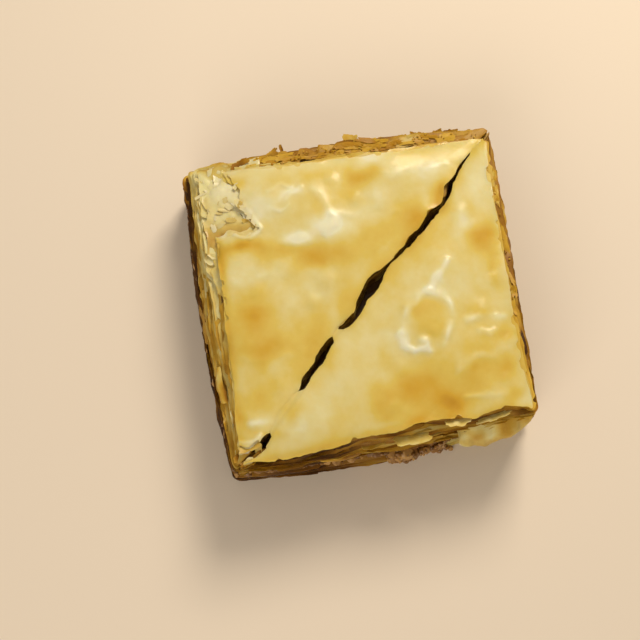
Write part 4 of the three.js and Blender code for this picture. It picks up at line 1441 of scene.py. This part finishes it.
@dataclass
class TornHalf(TopHalf):
    """The left half, whose back left corner and front tip have lost their uppermost sheets.

    Attributes:
        corner: Outline of what is missing at the back left.
        tip: Outline of what is missing at the front left.
        crevice: Outline of the gap that is left between the bared leaves and the sheet beside them.
        corner_feet: How far to the front each bared leaf reaches, from the uppermost down.
        chips: How many chips of broken leaf lie in the corner.
    """

    corner: tuple[Pair, ...] = (
        (-24.6, 44), (-25.8, 32), (-23.4, 27.6), (-24.2, 23.6), (-21.9, 20.4), (-20.2, 17.6),
        (-22.8, 16.4), (-25.6, 17.4), (-28.2, 16.2), (-44, 18.4), (-44, 44),
    )
    tip: tuple[Pair, ...] = (
        (-44, -30.2), (-32.4, -30.4), (-30.4, -31.3), (-28.8, -31.2), (-27.2, -30.4), (-24.4, -33.6),
        (-26, -44), (-44, -44),
    )
    crevice: tuple[Pair, ...] = (
        (-25.4, 24.4), (-24.6, 24.6), (-22.8, 22.4), (-21.8, 20.6), (-22.4, 20.2), (-23.8, 21.4),
    )
    corner_feet: tuple[float, ...] = (13.4, 12.2, 9.6, 8.8)
    chips: int = 24

    def torn_places(self, depth: int) -> list[Array]:
        """Outlines of what is missing from a covering sheet, a little less from each lower one.

        Args:
            depth: Which sheet it is, the uppermost being 0.

        Returns:
            The outlines.
        """
        corner = [(x - 0.9 * depth, y + 0.6 * depth) for x, y in self.corner]
        tip = [(x - 0.5 * depth, y - 0.8 * depth) for x, y in self.tip]
        return [tear(corner, 0.55, 70 + depth), tear(tip, 0.35, 80 + depth)]

    def corner_outline(self, depth: int) -> Array:
        """The outline of one leaf that shows in the torn corner.

        Args:
            depth: Which leaf it is, counted from the top.

        Returns:
            The outline.
        """
        walk = Walk.round(self.part, EDGE_STEP)
        ring = self.wall(walk, 1 - 0.05 * depth, self.tuck)
        reach = ripples(walk.arc, depth, 90, (0.4, 5, 1, 0), (0.2, 1.5, 1, 1)) - 0.2
        ring = ring + outward(ring) * reach[:, None]
        foot, right = self.corner_feet[depth], -18
        near = ring[(ring[:, 0] < right) & (ring[:, 1] > foot)]
        return np.concatenate(
            [[(right, near[0, 1])], near, [(near[-1, 0] + 1, foot - 1), (right, foot - 2)]]
        )

    def corner_height(self, depth: int, x: Array, y: Array) -> Array:
        """Height of one of the crinkled leaves that show in the torn corner.

        Args:
            depth: Which leaf it is, counted from the top.
            x: Places along X.
            y: Places along Y.

        Returns:
            One height for each place.
        """
        drop = SHEET_DROP + SKIN_THICKNESS - 0.25 + 0.4 * depth
        crinkle = 0.26 * crumple(x, y, 3.2, 96 + 0.3 * depth) + 0.1 * noise(x / 0.9, y / 1.6, 99)
        return sheet_height(x, y) - drop + crinkle

    def corner_leaves(self) -> list[Shell]:
        """The crinkled leaves that the torn corner lays bare, each torn further back than the last.

        Returns:
            One shell for each.
        """
        shells = []
        for depth in range(len(self.corner_feet)):
            back = 1.3 * depth
            gone = [(-31.2 + back, 44), (-30.6 + back, 31.4), (-32.6 + back, 27), (-31 + back, 24),
                    (-33 + back, 21), (-46, 20.4), (-46, 44)]
            torn = [tear(gone, 0.6, 95 + depth)] if depth < 2 else []
            if depth < 3:
                torn.append(tear(list(self.crevice), 0.15, 93 + depth))
            sheet = ThinSheet(
                self.corner_outline(depth), torn, partial(self.corner_height, depth),
                thickness=0.26, spacing=0.55, curl=0.6, seed=97 + depth,
            )
            points, faces = sheet.shell()
            x, y = points[:, 0], points[:, 1]
            brown = 0.12 + 0.13 * crumple(x, y, 4, 98 + depth) + 0.06 * depth
            # The leaves are browner along the front of the tear, where they were the thinnest.
            shells.append(toned(points, faces, brown + 0.5 * np.exp(-(((y - 17.4) / 3.6) ** 2))))
        return shells

    def corner_chips(self) -> list[Shell]:
        """Chips of broken leaf that lie in the torn corner and along its edge.

        Returns:
            One shell for each.
        """
        shells = []
        edge = np.array(self.corner[1:8])
        for n in range(self.chips):
            draw = partial(pick, i=n, seed=171)
            if n % 3:
                x, y = draw(-33, -24.6, j=1), draw(18.6, 32.6, j=2)
                z = sheet_height(x, y) - SHEET_DROP - SKIN_THICKNESS + 0.32
            else:
                along = draw(0, len(edge) - 1.01, j=1)
                spot = mix(edge[int(along)], edge[int(along) + 1], along % 1)
                x, y = spot + np.array([draw(-0.5, 0.5, j=8), draw(-0.5, 0.5, j=9)])
                z = top_surface(x, y) - 0.05
            size = (mix(1.2, 3.2, chance(n, 3, 171) ** 2), draw(0.6, 1.5, j=4))
            tilt = (draw(-6, 6, j=5), draw(-7, 7, j=6))
            chip = Flake((float(x), float(y), float(z)), size, draw(0, 180, j=7), tilt, 0.06, seed=n * 1.3)
            shells.append(toned(*chip.shell(0.08, 24), mix(0.1, 0.42, chance(n, 10, 171) ** 2)))
        return shells

    def build(self) -> None:
        """Makes the half's pieces and what its torn corner shows."""
        super().build()
        bared = self.corner_leaves() + self.corner_chips()
        make_piece("torn_corner_leaves", bared, TORN_LEAVES.make(), (), 60)


# --- draped leaves, flakes and crumbs ------------------------------------------------------------


def grid_shell(grid: Array, thickness: float) -> tuple[Array, Array]:
    """A closed thin shell over a curved grid of points.

    Args:
        grid: (rows, columns, 3) points of its outer side, seen with its rows running to the left.
        thickness: How thick it is in the middle; it thins out towards its edges.

    Returns:
        The points and the triangles.
    """
    rows, columns = grid.shape[:2]
    down, across = np.gradient(grid, axis=0), np.gradient(grid, axis=1)
    normal = np.cross(across, down)
    normal /= np.maximum(np.linalg.norm(normal, axis=2), 1e-9)[..., None]
    r, c = np.meshgrid(np.arange(rows), np.arange(columns), indexing="ij")
    rim = np.minimum.reduce([r, rows - 1 - r, c, columns - 1 - c])
    inner = grid - normal * (thickness * np.where(rim == 0, 0.35, 1.0))[..., None]
    number = np.arange(rows * columns).reshape(rows, columns)
    a, b, d, e = (q.ravel() for q in (number[:-1, :-1], number[:-1, 1:], number[1:, :-1], number[1:, 1:]))
    outer_faces = np.concatenate([np.stack([a, b, e], 1), np.stack([a, e, d], 1)])
    loop = np.concatenate([number[0, :-1], number[:-1, -1], number[-1, :0:-1], number[:0:-1, 0]])
    after, back = np.roll(loop, -1), rows * columns
    walls = np.concatenate(
        [np.stack([loop, loop + back, after + back], 1), np.stack([loop, after + back, after], 1)]
    )
    points = np.concatenate([grid.reshape(-1, 3), inner.reshape(-1, 3)])
    return points, np.concatenate([outer_faces, outer_faces[:, ::-1] + back, walls])


@dataclass(frozen=True)
class DrapedLeaf:
    """A torn leaf that hangs down over a side wall.

    Attributes:
        edge: Which side it hangs on.
        first: Where along the side it starts, as a share.
        last: Where it ends.
        high: Height of its upper edge.
        low: Height that its lower edge hangs to.
        out: How far it stands off the wall.
        brown: How toasted it is, from 0 to 1.
        seed: Chooses its torn edge and folds.
        thickness: How thick it is drawn.
        step: Distance between its columns of points.
        rows: How many rows of points it has from top to bottom.
    """

    edge: int
    first: float
    last: float
    high: float
    low: float
    out: float
    brown: float
    seed: float
    thickness: float = 0.2
    step: float = 0.4
    rows: int = 12

    def shell(self) -> Shell:
        """Builds the leaf as a closed shell.

        Returns:
            Points, triangles and browning.
        """
        columns = max(8, int((self.last - self.first) * SIDE_SPAN / self.step))
        t = np.linspace(0, 1, columns)
        share = mix(self.first, self.last, t)
        s = share * SIDE_SPAN
        walk = Walk(np.full(columns, self.edge), share, s)
        foot, belt, shoulder = (walk.points(outline, Part.WHOLE) for outline in (FOOT, BELT, SHOULDER))
        along = np.gradient(belt, axis=0)
        out = np.stack([along[:, 1], -along[:, 0]], 1) / np.linalg.norm(along, axis=1)[:, None]
        torn = 0.78 + ripples(s, 0, self.seed, (0.2, 4.4, 0, 170), (0.14, 1.5, 0, 173), (0.06, 0.6, 0, 175))
        # It is longest in the middle and hangs a little lower than its torn edge alone would make it.
        drop = (self.high - self.low) * np.clip(torn, 0.4, 1) * np.sin(np.pi * t) ** 0.25 + 0.3
        top = self.high + 0.5 * noise(s / 5, 0, self.seed + 176)
        rows, tones = [], []
        for v in np.linspace(0, 1, self.rows):
            z = np.maximum(top - drop * v, 0.4)
            rise = np.clip((z - NUT_TOP) / (PLATEAU - NUT_TOP), 0, 1)[:, None] ** TOP_WALL[self.edge]
            fall = np.clip(1 - z / NUT_TOP, 0, 1)[:, None]
            wall = mix(mix(belt, shoulder, rise), foot, fall)
            folds = 0.22 * np.sin(6.5 * v + 2.5 * noise(s / 6, 0, self.seed + 174)) * step_up(v, 0, 0.3)
            hang = self.out * np.sin(v * 1.9) * (0.3 + 0.7 * np.sin(np.pi * t) ** 0.7)
            pleats = (0.2 + 0.14 * self.out) * noise(s / 2.0, v * 1.1, self.seed + 171)
            stand = hang + folds + pleats + 0.1 * noise(s / 0.8, v * 3, self.seed + 178)
            # Its upper edge is tucked in between the leaves of the wall.
            spots = wall + out * (stand - 0.9 * (1 - v) ** 2)[:, None]
            rows.append(at_height(spots, z + 0.1 * noise(s / 1.7, v, self.seed + 172)))
            tones.append(self.brown + 0.28 * t * (1 - v) ** 2 + 0.24 * noise(s / 3.2, v * 3, self.seed + 177))
        return toned(*grid_shell(np.array(rows), self.thickness), np.tile(np.concatenate(tones), 2))


@dataclass
class LooseBits:
    """Flakes that peel off the walls and ledges, the curled flap at the front left, and crumbs.

    Attributes:
        ledge_flakes: How many flakes are strewn over the back and right ledges.
        crumbs: How many crumbs lie on the ledges.
        placed: Flakes that stand out by themselves.
        draped: Leaves that hang over the walls.
    """

    ledge_flakes: int = 60
    crumbs: int = 160
    placed: tuple[Flake, ...] = (
        Flake((-22.6, 34.6, 21.4), (4.4, 1.5), 12, (8, 10), 0.3, 0.7, 1),
        Flake((-15.0, 35.8, 21.3), (3.0, 1.6), 30, (10, 8), 0.3, 0.5, 2),
        Flake((-12.6, 36.9, 20.8), (0.8, 2.0), 10, (5, 18), 0.2, 0.65, 3),
        Flake((4.0, 36.4, 21.4), (3.6, 2.6), -12, (8, 8), 0.3, 0.3, 4),
        Flake((15.4, 35.9, 18.9), (3.8, 1.8), 6, (3, 14), 0.2, 0.4, 14),
        Flake((19.6, 36.2, 19.0), (3.2, 1.6), -10, (-4, 10), 0.3, 0.66, 15),
        Flake((23.4, 36.0, 18.9), (3.6, 1.7), 4, (2, 12), 0.3, 0.56, 16),
        Flake((27.4, 35.6, 18.9), (3.4, 1.8), -6, (4, 8), 0.3, 0.7, 17),
        Flake((31.0, 35.0, 19.0), (2.8, 1.6), 8, (4, 8), 0.3, 0.5, 19),
        Flake((10.4, 36.5, 18.6), (3.4, 1.4), 8, (2, 12), 0.2, 0.46, 18),
        Flake((6.9, -33.7, 19.8), (8.0, 5.2), 3, (2, -32), 0.3, 0.2, 8),
        Flake((17.6, -32.6, 22.5), (5.8, 2.4), 6, (3, -28), 0.3, 0.12, 9),
        Flake((-1.6, -34.4, 18.4), (5.4, 2.2), 8, (4, -38), 0.3, 0.36, 11),
        Flake((24.8, -32.8, 21.6), (7.4, 1.7), 8, (4, -34), 0.2, 0.16, 12),
        Flake((-9.4, -35.6, 17.6), (4.6, 1.6), 4, (2, -44), 0.2, 0.4, 13),
        Flake((-29.4, -31.6, 22.6), (4.8, 2.0), 8, (6, -22), 0.7, 0.3, 5),
        Flake((-27.4, -32.6, 21.9), (1.6, 3.4), -18, (10, 30), 0.5, 0.2, 6),
        Flake((-30.6, -33.6, 20.9), (4.6, 3.0), -8, (-4, -10), 0.3, 0.6, 7),
        Flake((-22.2, 19.4, 23.1), (3.2, 1.2), -38, (10, 20), 0.5, 0.3, 10),
    )
    draped: tuple[DrapedLeaf, ...] = (
        DrapedLeaf(FRONT, 0.735, 0.985, 18.2, 6.6, 2.8, 0.2, 1),
        DrapedLeaf(FRONT, 0.28, 0.42, 17.2, 14.6, 0.5, 0.6, 4),
        DrapedLeaf(LEFT, 0.40, 0.58, 17.4, 14.2, 0.4, 0.4, 5),
        DrapedLeaf(LEFT, 0.67, 0.79, 20.4, 18.2, 0.4, 0.34, 6),
        DrapedLeaf(BACK, 0.14, 0.31, 17.6, 13.2, 0.5, 0.5, 7),
        DrapedLeaf(BACK, 0.50, 0.68, 15.8, 12.4, 0.5, 0.4, 8),
        DrapedLeaf(RIGHT, 0.07, 0.25, 16.8, 14.6, 0.3, 0.56, 9),
        DrapedLeaf(RIGHT, 0.60, 0.86, 18.8, 16.9, 0.3, 0.5, 10),
    )

    def on_ledge(self, edge: int, share: float, inset: float) -> tuple[float, float, float]:
        """A place on the ledge that the walls leave beside the top sheet.

        Args:
            edge: Which side it is on.
            share: How far along the side.
            inset: How far in from the shoulder.

        Returns:
            The place.
        """
        walk = Walk(np.array([edge]), np.array([share]), np.array([0.0]))
        x, y = walk.points(SHOULDER, Part.WHOLE)[0] - FACING[edge] * inset
        return x, y, float(sheet_height(x, y)) - SHEET_DROP - 0.9

    def scattered(self) -> list[Flake]:
        """Flakes strewn over the back and right ledges.

        Returns:
            The flakes.
        """
        flakes = []
        for n in range(self.ledge_flakes):
            draw = partial(pick, i=n, seed=151)
            edge, reach, along = (BACK, (0.1, 0.84), 0) if n % 3 else (RIGHT, (0.35, 0.9), 90)
            x, y, z = self.on_ledge(edge, draw(*reach, j=1), draw(0.4, 3.2, j=2))
            length = mix(2.4, 7.5, chance(n, 3, 151) ** 1.3)
            flakes.append(Flake(
                (x, y, z + draw(0, 0.2, j=4)), (length, draw(0.6, 1.5, j=5)), along + draw(-12, 12, j=6),
                (draw(-5, 5, j=7), draw(-12, 12, j=8)), draw(0.0, 0.25, j=9), draw(0.3, 0.7, j=10), n + 20,
            ))
        return flakes

    def crumb_shells(self) -> list[Shell]:
        """Crumbs of baked leaf on the ledges.

        Returns:
            One shell for each.
        """
        ball, faces = unit_ball(1)
        shells = []
        for n in range(self.crumbs):
            draw = partial(pick, i=n, seed=161)
            edge = (BACK, BACK, RIGHT, FRONT)[n % 4]
            x, y, z = self.on_ledge(edge, draw(0.04, 0.82, j=1), draw(0.3, 3.0, j=2))
            radius = mix(0.1, 0.3, chance(n, 3, 161) ** 2)
            stretch = np.array([draw(0.6, 1.4, j=c) for c in (4, 5, 6)])
            points = ball * (1 + 0.3 * noise(ball[:, 0] * 2, ball[:, 1] * 2, n))[:, None]
            points = points * radius * stretch + np.array([x, y, z + 0.25])
            shells.append(toned(points, faces, draw(0.2, 0.9, j=7)))
        return shells

    def build(self) -> None:
        """Makes the flakes, the draped leaves and the crumbs."""
        toasted = TOASTED_FLAKES.make()
        strewn = [toned(*flake.shell(), flake.brown) for flake in self.scattered()]
        make_piece("loose_flakes", strewn, toasted, (), 60)
        shells = []
        for flake in self.placed:
            points, faces = flake.shell()
            tone = flake.brown + 0.12 * noise(points[:, 0] / 1.4, points[:, 1] / 0.9, flake.seed)
            shells.append(toned(points, faces, tone))
        shells += [leaf.shell() for leaf in self.draped]
        make_piece("draped_leaves", shells, CRISP_LEAVES.make(), (), 60)
        make_piece("crumbs", self.crumb_shells(), toasted, (), 60)


# --- the walnut layer ----------------------------------------------------------------------------


@dataclass
class WalnutLayer:
    """The filling: a rough core set all round with chopped walnut and fine grains.

    Attributes:
        pieces: How many chopped bits are set round it.
        piece_radii: Smallest and largest radius of these.
        grains: How many fine grains lie between them.
        grain_radii: Smallest and largest radius of these.
        spilt: How many bits have fallen out at the front.
        strokes: How many flat knife strokes shape each bit.
        hidden_from: Where along the front soaked sheets begin to cover it.
        bulge_at: Where along the front it swells out.
        bulge_reach: How far it swells.
        bulge_half_width: Over what share of the front.
        bed: Height of the core's underside.
    """

    pieces: int = 480
    piece_radii: Pair = (0.55, 1.7)
    grains: int = 1200
    grain_radii: Pair = (0.2, 0.5)
    spilt: int = 74
    strokes: int = 6
    hidden_from: float = 0.76
    bulge_at: float = 0.6
    bulge_reach: float = 1.9
    bulge_half_width: float = 0.09
    bed: float = BASE_TOP + 0.1

    def swell(self, edge: Array, share: Array) -> Array:
        """How much further the filling stands out at places of its outline.

        Args:
            edge: Which edge each place is on.
            share: How far along that edge it is.

        Returns:
            One distance for each place.
        """
        rise = self.bulge_reach * np.exp(-(((share - self.bulge_at) / self.bulge_half_width) ** 2))
        back = 1.3 * step_up(share, self.hidden_from - 0.03, self.hidden_from + 0.05)
        return np.where(edge == FRONT, rise - back, 0)

    def core(self) -> tuple[Array, Array]:
        """The closed rough body between the two stacks of filo.

        Returns:
            The points and the triangles.
        """
        walk = Walk.round(Part.WHOLE, 0.9)
        ring = soften(walk.points(BELT, Part.WHOLE), 4)
        rings = []
        for row, z in enumerate(np.linspace(self.bed, NUT_TOP, 8)):
            rough = ripples(walk.arc, row, 101, (0.5, 2.2, 0.8, 0), (0.35, 0.9, 1.6, 1))
            spots = ring + outward(ring) * (self.swell(walk.edge, walk.share) - 1.3 + rough)[:, None]
            rings.append(at_height(spots, z))
        under, over = [], []
        for share in (0.3, 0.5, 0.7, 0.85):
            low, high = (shrink(end[:, :2], share) for end in (rings[0], rings[-1]))
            sag = 0.5 * (1 + noise(high[:, 0] / 1.6, high[:, 1] / 1.6, 103))
            under.append(at_height(low, self.bed))
            over.append(at_height(high, NUT_TOP - sag))
        return join_rings([*under, *rings, *over[::-1]], capped=True)

    def lump(self, seed: float, ball: Array) -> Array:
        """One chopped bit of nut: a ball cut by several flat knife strokes.

        Args:
            seed: Chooses its shape.
            ball: Points of a unit ball.

        Returns:
            Its points, about one unit in radius.
        """
        dents = noise(ball[:, 0] * 2 + seed, ball[:, 1] * 2 + ball[:, 2], seed)
        spots = ball * (1 + 0.1 * dents)[:, None]
        for n in range(self.strokes):
            turn, lean = chance(seed, n, 111) * 2 * np.pi, np.arccos(2 * chance(seed, n, 112) - 1)
            face = np.array([np.cos(turn) * np.sin(lean), np.sin(turn) * np.sin(lean), np.cos(lean)])
            over = np.maximum(spots @ face - pick(0.45, 0.8, seed, n, 113), 0)
            spots = spots - over[:, None] * face
        return spots

    def scatter(self, count: int, sizes: Pair, rounds: int, seed: float) -> list[Shell]:
        """Sets bits of nut all round the layer's side.

        Args:
            count: How many.
            sizes: Smallest and largest radius.
            rounds: How finely each is meshed.
            seed: Chooses their places.

        Returns:
            Their shells.
        """
        ball, faces = unit_ball(rounds)
        n = np.arange(count)
        walk_share = (n + chance(n, 1, seed)) / count * 4
        walk = Walk(np.floor(walk_share).astype(int) % 4, walk_share % 1, walk_share * SIDE_SPAN)
        spots = walk.points(BELT, Part.WHOLE)
        swell = self.swell(walk.edge, walk.share)
        shells = []
        for k in range(count):
            draw = partial(pick, i=k, seed=seed)
            radius = mix(*sizes, chance(k, 2, seed) ** 1.8)
            z = draw(self.bed + 0.7 * radius, NUT_TOP + 0.2 - 0.7 * radius, j=3)
            # Where the layer swells, the bits are sunk less deep into its core.
            out = swell[k] - draw(0.3, 1.5, j=4) * (0.3 if swell[k] > 0.8 else 1)
            x, y = spots[k] + FACING[walk.edge[k]] * (out - 0.55 * radius + 0.35)
            stretch = np.array([draw(0.75, 1.25, j=c) for c in (5, 6, 7)])
            lump = self.lump(k + seed * 1000, ball) * radius * stretch
            angle = draw(0, 2 * np.pi, j=8)
            cos, sin = np.cos(angle), np.sin(angle)
            spin = np.array([[cos, -sin, 0], [sin, cos, 0], [0, 0, 1]])
            shells.append(toned(lump @ spin.T + np.array([x, y, z]), faces, draw(0.2, 0.85, j=9)))
        return shells

    def spill(self) -> list[Shell]:
        """Bits of nut that fell out below the swelling and lie against the bottom stack in two heaps.

        Returns:
            Their shells.
        """
        ball, faces = unit_ball(3)
        shells = []
        for n in range(self.spilt):
            draw = partial(pick, i=n, seed=127)
            radius = draw(0.5, 1.15, j=1)
            heap, ease = (5.0, 0.0) if n % 5 < 3 else (13.2, 1.1)
            x = heap + 4.4 * (chance(n, 2, 127) + chance(n, 3, 127) - 1)
            z = 0.8 * radius + draw(0, 8.6 - 0.9 * abs(x - heap), j=4)
            y = -37.95 + 1.15 * radius + draw(0, 0.5, j=5) + ease
            stretch = np.array([draw(0.85, 1.15, j=c) for c in (6, 7, 8)])
            lump = self.lump(n + 9000, ball) * radius * stretch + np.array([x, y, z])
            lump[:, 2] = np.maximum(lump[:, 2], 0.02)
            shells.append(toned(lump, faces, draw(0.15, 0.6, j=9)))
        return shells

    def build(self) -> None:
        """Makes the filling's pieces."""
        walnut, filling = WALNUT.make(), ("nut_filling",)
        pieces = self.scatter(self.pieces, self.piece_radii, 3, 121)
        grains = self.scatter(self.grains, self.grain_radii, 2, 122)
        make_piece("walnut_core", [toned(*self.core(), 0.5)], walnut, filling, 30)
        make_piece("walnut_pieces", pieces, walnut, filling, 35)
        make_piece("walnut_grains", grains, walnut, filling, 35)
        make_piece("spilt_walnut", self.spill(), walnut, (), 35)


# --- the bottom stack ----------------------------------------------------------------------------

# How toasted the bottom leaves' edges are at the back, left, front and right.
# The left value is high as painted shade of the shaded left wall.
BASE_TOAST_AND_SHADE = np.array([0.5, 0.84, 0.5, 0.46])


@dataclass
class BaseStack:
    """The bottom stack: sheets soaked with syrup and pressed together, flat where they lie.

    Attributes:
        leaves: How many leaves it has.
        thickness: How thick each is drawn.
        step: Distance between points along a leaf's edge.
    """

    leaves: int = 13
    thickness: float = 0.42
    step: float = 0.5

    def wall(self, walk: Walk, level: float) -> Array:
        """The stack's outline at some height, with rounded corners.

        Args:
            walk: Places round the piece.
            level: The height as a share of the stack's.

        Returns:
            One (x, y) for each place.
        """
        slope = (level ** BASE_WALL[walk.edge])[:, None]
        low, high = (walk.points(outline, Part.WHOLE) for outline in (FOOT, BELT))
        return soften(mix(low, high, slope), CORNER_ROUNDING)

    def leaf(self, number: int) -> Shell:
        """One leaf as a closed band with a torn, wavy edge.

        Args:
            number: Its place in the stack, counted from below.

        Returns:
            Points, triangles and browning.
        """
        walk = Walk.round(Part.WHOLE, self.step)
        level = (number + 0.6) / self.leaves
        ring = self.wall(walk, level)
        s, k = walk.arc, number
        reach = ripples(s, k, 131, (0.5, 11, 0.7, 0), (0.3, 3.2, 1.3, 1), (0.12, 1.1, 2.9, 2))
        reach = reach + 0.4 * (chance(k, 5, 134) - 0.6) - step_up(noise(s / 4, k * 1.7, 135), 0.45, 0.7)
        ring = ring + outward(ring) * reach[:, None]
        # The lowest leaves are pressed flat.
        bend = ripples(s, k, 136, (0.34, 9, 0.28, 0), (0.13, 2.6, 0.5, 1)) * min(1, k / 3)

        def lie(_: Array, share: float, thick: float) -> Array:
            """Height of the leaf, bent at its edge and held between the floor and the nuts."""
            z = level * BASE_TOP + 0.2 + bend * np.exp(-(1 - share) / 0.03)
            return np.clip(z, thick + 0.02, BASE_TOP + LAYER_GAP)

        shares = (1.0, 0.986, 0.9)
        points, faces = torn_band(ring, shares, self.thickness, 0.45, lie)
        # The front is darker at its left end as painted shade, and pale at its right one.
        front_shade_and_pale = 0.34 * (1 - step_up(walk.share, 0.25, 0.45)) - 0.48 * step_up(walk.share, 0.5, 0.75)
        toast_and_shade = soften(BASE_TOAST_AND_SHADE[walk.edge] + (walk.edge == FRONT) * front_shade_and_pale, 10)
        toast_and_shade = toast_and_shade + 0.2 * noise(s / 7, k * 1.2, 138) + 0.25 * (chance(k, 7, 139) - 0.5)
        return toned(points, faces, np.tile(toast_and_shade, 2 * len(shares)))

    def core(self) -> tuple[Array, Array]:
        """The closed body inside the leaves, flat underneath.

        Returns:
            The points and the triangles.
        """
        walk = Walk.round(Part.WHOLE, COARSE_STEP)
        rings = []
        for level, share in ((0, 0.985), (0.08, 0.972), (0.5, 0.972), (1, 0.972)):
            rings.append(at_height(shrink(self.wall(walk, level), share), level * BASE_TOP))
        inner = at_height(shrink(rings[-1][:, :2], 0.5), BASE_TOP)
        under = at_height(shrink(rings[0][:, :2], 0.5), 0.0)
        return join_rings([under, *rings, inner], capped=True)

    def build(self) -> None:
        """Makes the stack's pieces."""
        soaked, leaves = SOAKED_LEAVES.make(), [self.leaf(number) for number in range(self.leaves)]
        make_piece("base_leaves", leaves, soaked, ("filo_base",))
        make_piece("base_core", [toned(*self.core(), 0.62)], soaked, ("filo_base",))


# --- the set -------------------------------------------------------------------------------------


@dataclass(frozen=True)
class SoftLamp:
    """One soft square light, aimed at the piece.

    Attributes:
        name: Its name.
        spot: Where it hangs, in millimetres.
        size: Length of its side, in millimetres.
        watts: Its power.
        colour: Its colour.
        aim: What it shines at, in millimetres.
    """

    name: str
    spot: tuple[float, float, float]
    size: float
    watts: float
    colour: str
    aim: tuple[float, float, float] = (0, 0, 12)

    def hang(self) -> None:
        """Puts the light into the scene."""
        light = bpy.data.lights.new(self.name, "AREA")
        light.size = self.size * MM
        light.energy = self.watts
        light.color = linear(self.colour)[:3]
        lamp = add_object(self.name, light)
        lamp.location = Vector(self.spot) * MM
        lamp.rotation_euler = (Vector(self.aim) - Vector(self.spot)).to_track_quat("-Z", "Y").to_euler()


@dataclass
class Studio:
    """A plain pale floor, soft light and the camera that looks down on the piece.

    Attributes:
        azimuth_deg: Which way the camera looks, 0 being along +Y.
        elevation_deg: How steeply it looks down.
        distance: How far it stands off, in millimetres.
        aside: How far it stands left of and below its aim, in millimetres.
        aim: What it looks at, in millimetres.
        lens_mm: Focal length.
        sensor_mm: Width of the sensor.
        clip: Nearest and farthest distance that it shows, in metres.
        floor_size: Length of the floor's side, in millimetres.
        lamps: The lights.
        sky: Colour of the light from all round.
        sky_strength: How strong that light is.
    """

    azimuth_deg: float = -8.505
    elevation_deg: float = 77.0
    distance: float = 303.8
    aside: Pair = (9.597, 6.018)
    aim: tuple[float, float, float] = (1.24, 1.48, 13.0)
    lens_mm: float = 73.125
    sensor_mm: float = 36.0
    clip: Pair = (0.01, 20.0)
    floor_size: float = 3000.0
    lamps: tuple[SoftLamp, ...] = (
        SoftLamp("key", (190, 330, 380), 200, 2.3, "#fff2de"),
        SoftLamp("sheen", (60, 170, 520), 260, 0.08, "#ffffff"),
        SoftLamp("fill", (-230, -400, 330), 380, 1.25, "#fff2e2"),
    )
    sky: str = "#fff3e0"
    sky_strength: float = 0.26

    def camera(self) -> None:
        """Places the camera."""
        a, e = np.radians((self.azimuth_deg, self.elevation_deg))
        back = np.array([np.sin(a) * np.cos(e), -np.cos(a) * np.cos(e), np.sin(e)])
        right = np.array([np.cos(a), np.sin(a), 0.0])
        up = np.cross(back, right)
        spot = np.array(self.aim) + back * self.distance - right * self.aside[0] - up * self.aside[1]
        lens = bpy.data.cameras.new("camera")
        lens.lens, lens.sensor_width = self.lens_mm, self.sensor_mm
        lens.clip_start, lens.clip_end = self.clip
        camera = add_object("camera", lens)
        pose = np.eye(4)
        pose[:3, 0], pose[:3, 1], pose[:3, 2], pose[:3, 3] = right, up, back, spot * MM
        camera.matrix_world = Matrix(pose.tolist())
        bpy.context.scene.camera = camera

    def floor(self) -> None:
        """Lays the floor."""
        half = self.floor_size / 2 * MM
        corners = [(-half, -half, 0), (half, -half, 0), (half, half, 0), (-half, half, 0)]
        mesh = bpy.data.meshes.new("floor")
        mesh.from_pydata(corners, [], [(0, 1, 2, 3)])
        mesh.materials.append(FLOOR_PAPER.make())
        floor = add_object("floor", mesh)

    def build(self) -> None:
        """Makes the set."""
        self.camera()
        self.floor()
        for lamp in self.lamps:
            lamp.hang()
        world = bpy.data.worlds.new("studio")
        world.use_nodes = True
        sky = world.node_tree.nodes["Background"]
        sky.inputs["Color"].default_value = linear(self.sky)
        sky.inputs["Strength"].default_value = self.sky_strength
        bpy.context.scene.world = world
        bpy.context.scene.view_settings.view_transform = "Standard"


def main() -> None:
    """Builds the piece and its set."""
    logging.basicConfig(level=logging.INFO, format="%(name)s %(message)s")
    BaseStack().build()
    WalnutLayer().build()
    TornHalf(Part.LEFT, "filo_top_left", seed=2).build()
    laps = ((-0.05, 0.05, 0.45), (0.787, 0.893, 1.4), (0.614, 0.628, 1.2))
    TopHalf(Part.RIGHT, "filo_top_right", seed=3, laps=laps).build()
    LooseBits().build()
    Studio().build()


if __name__ == "__main__":
    main()
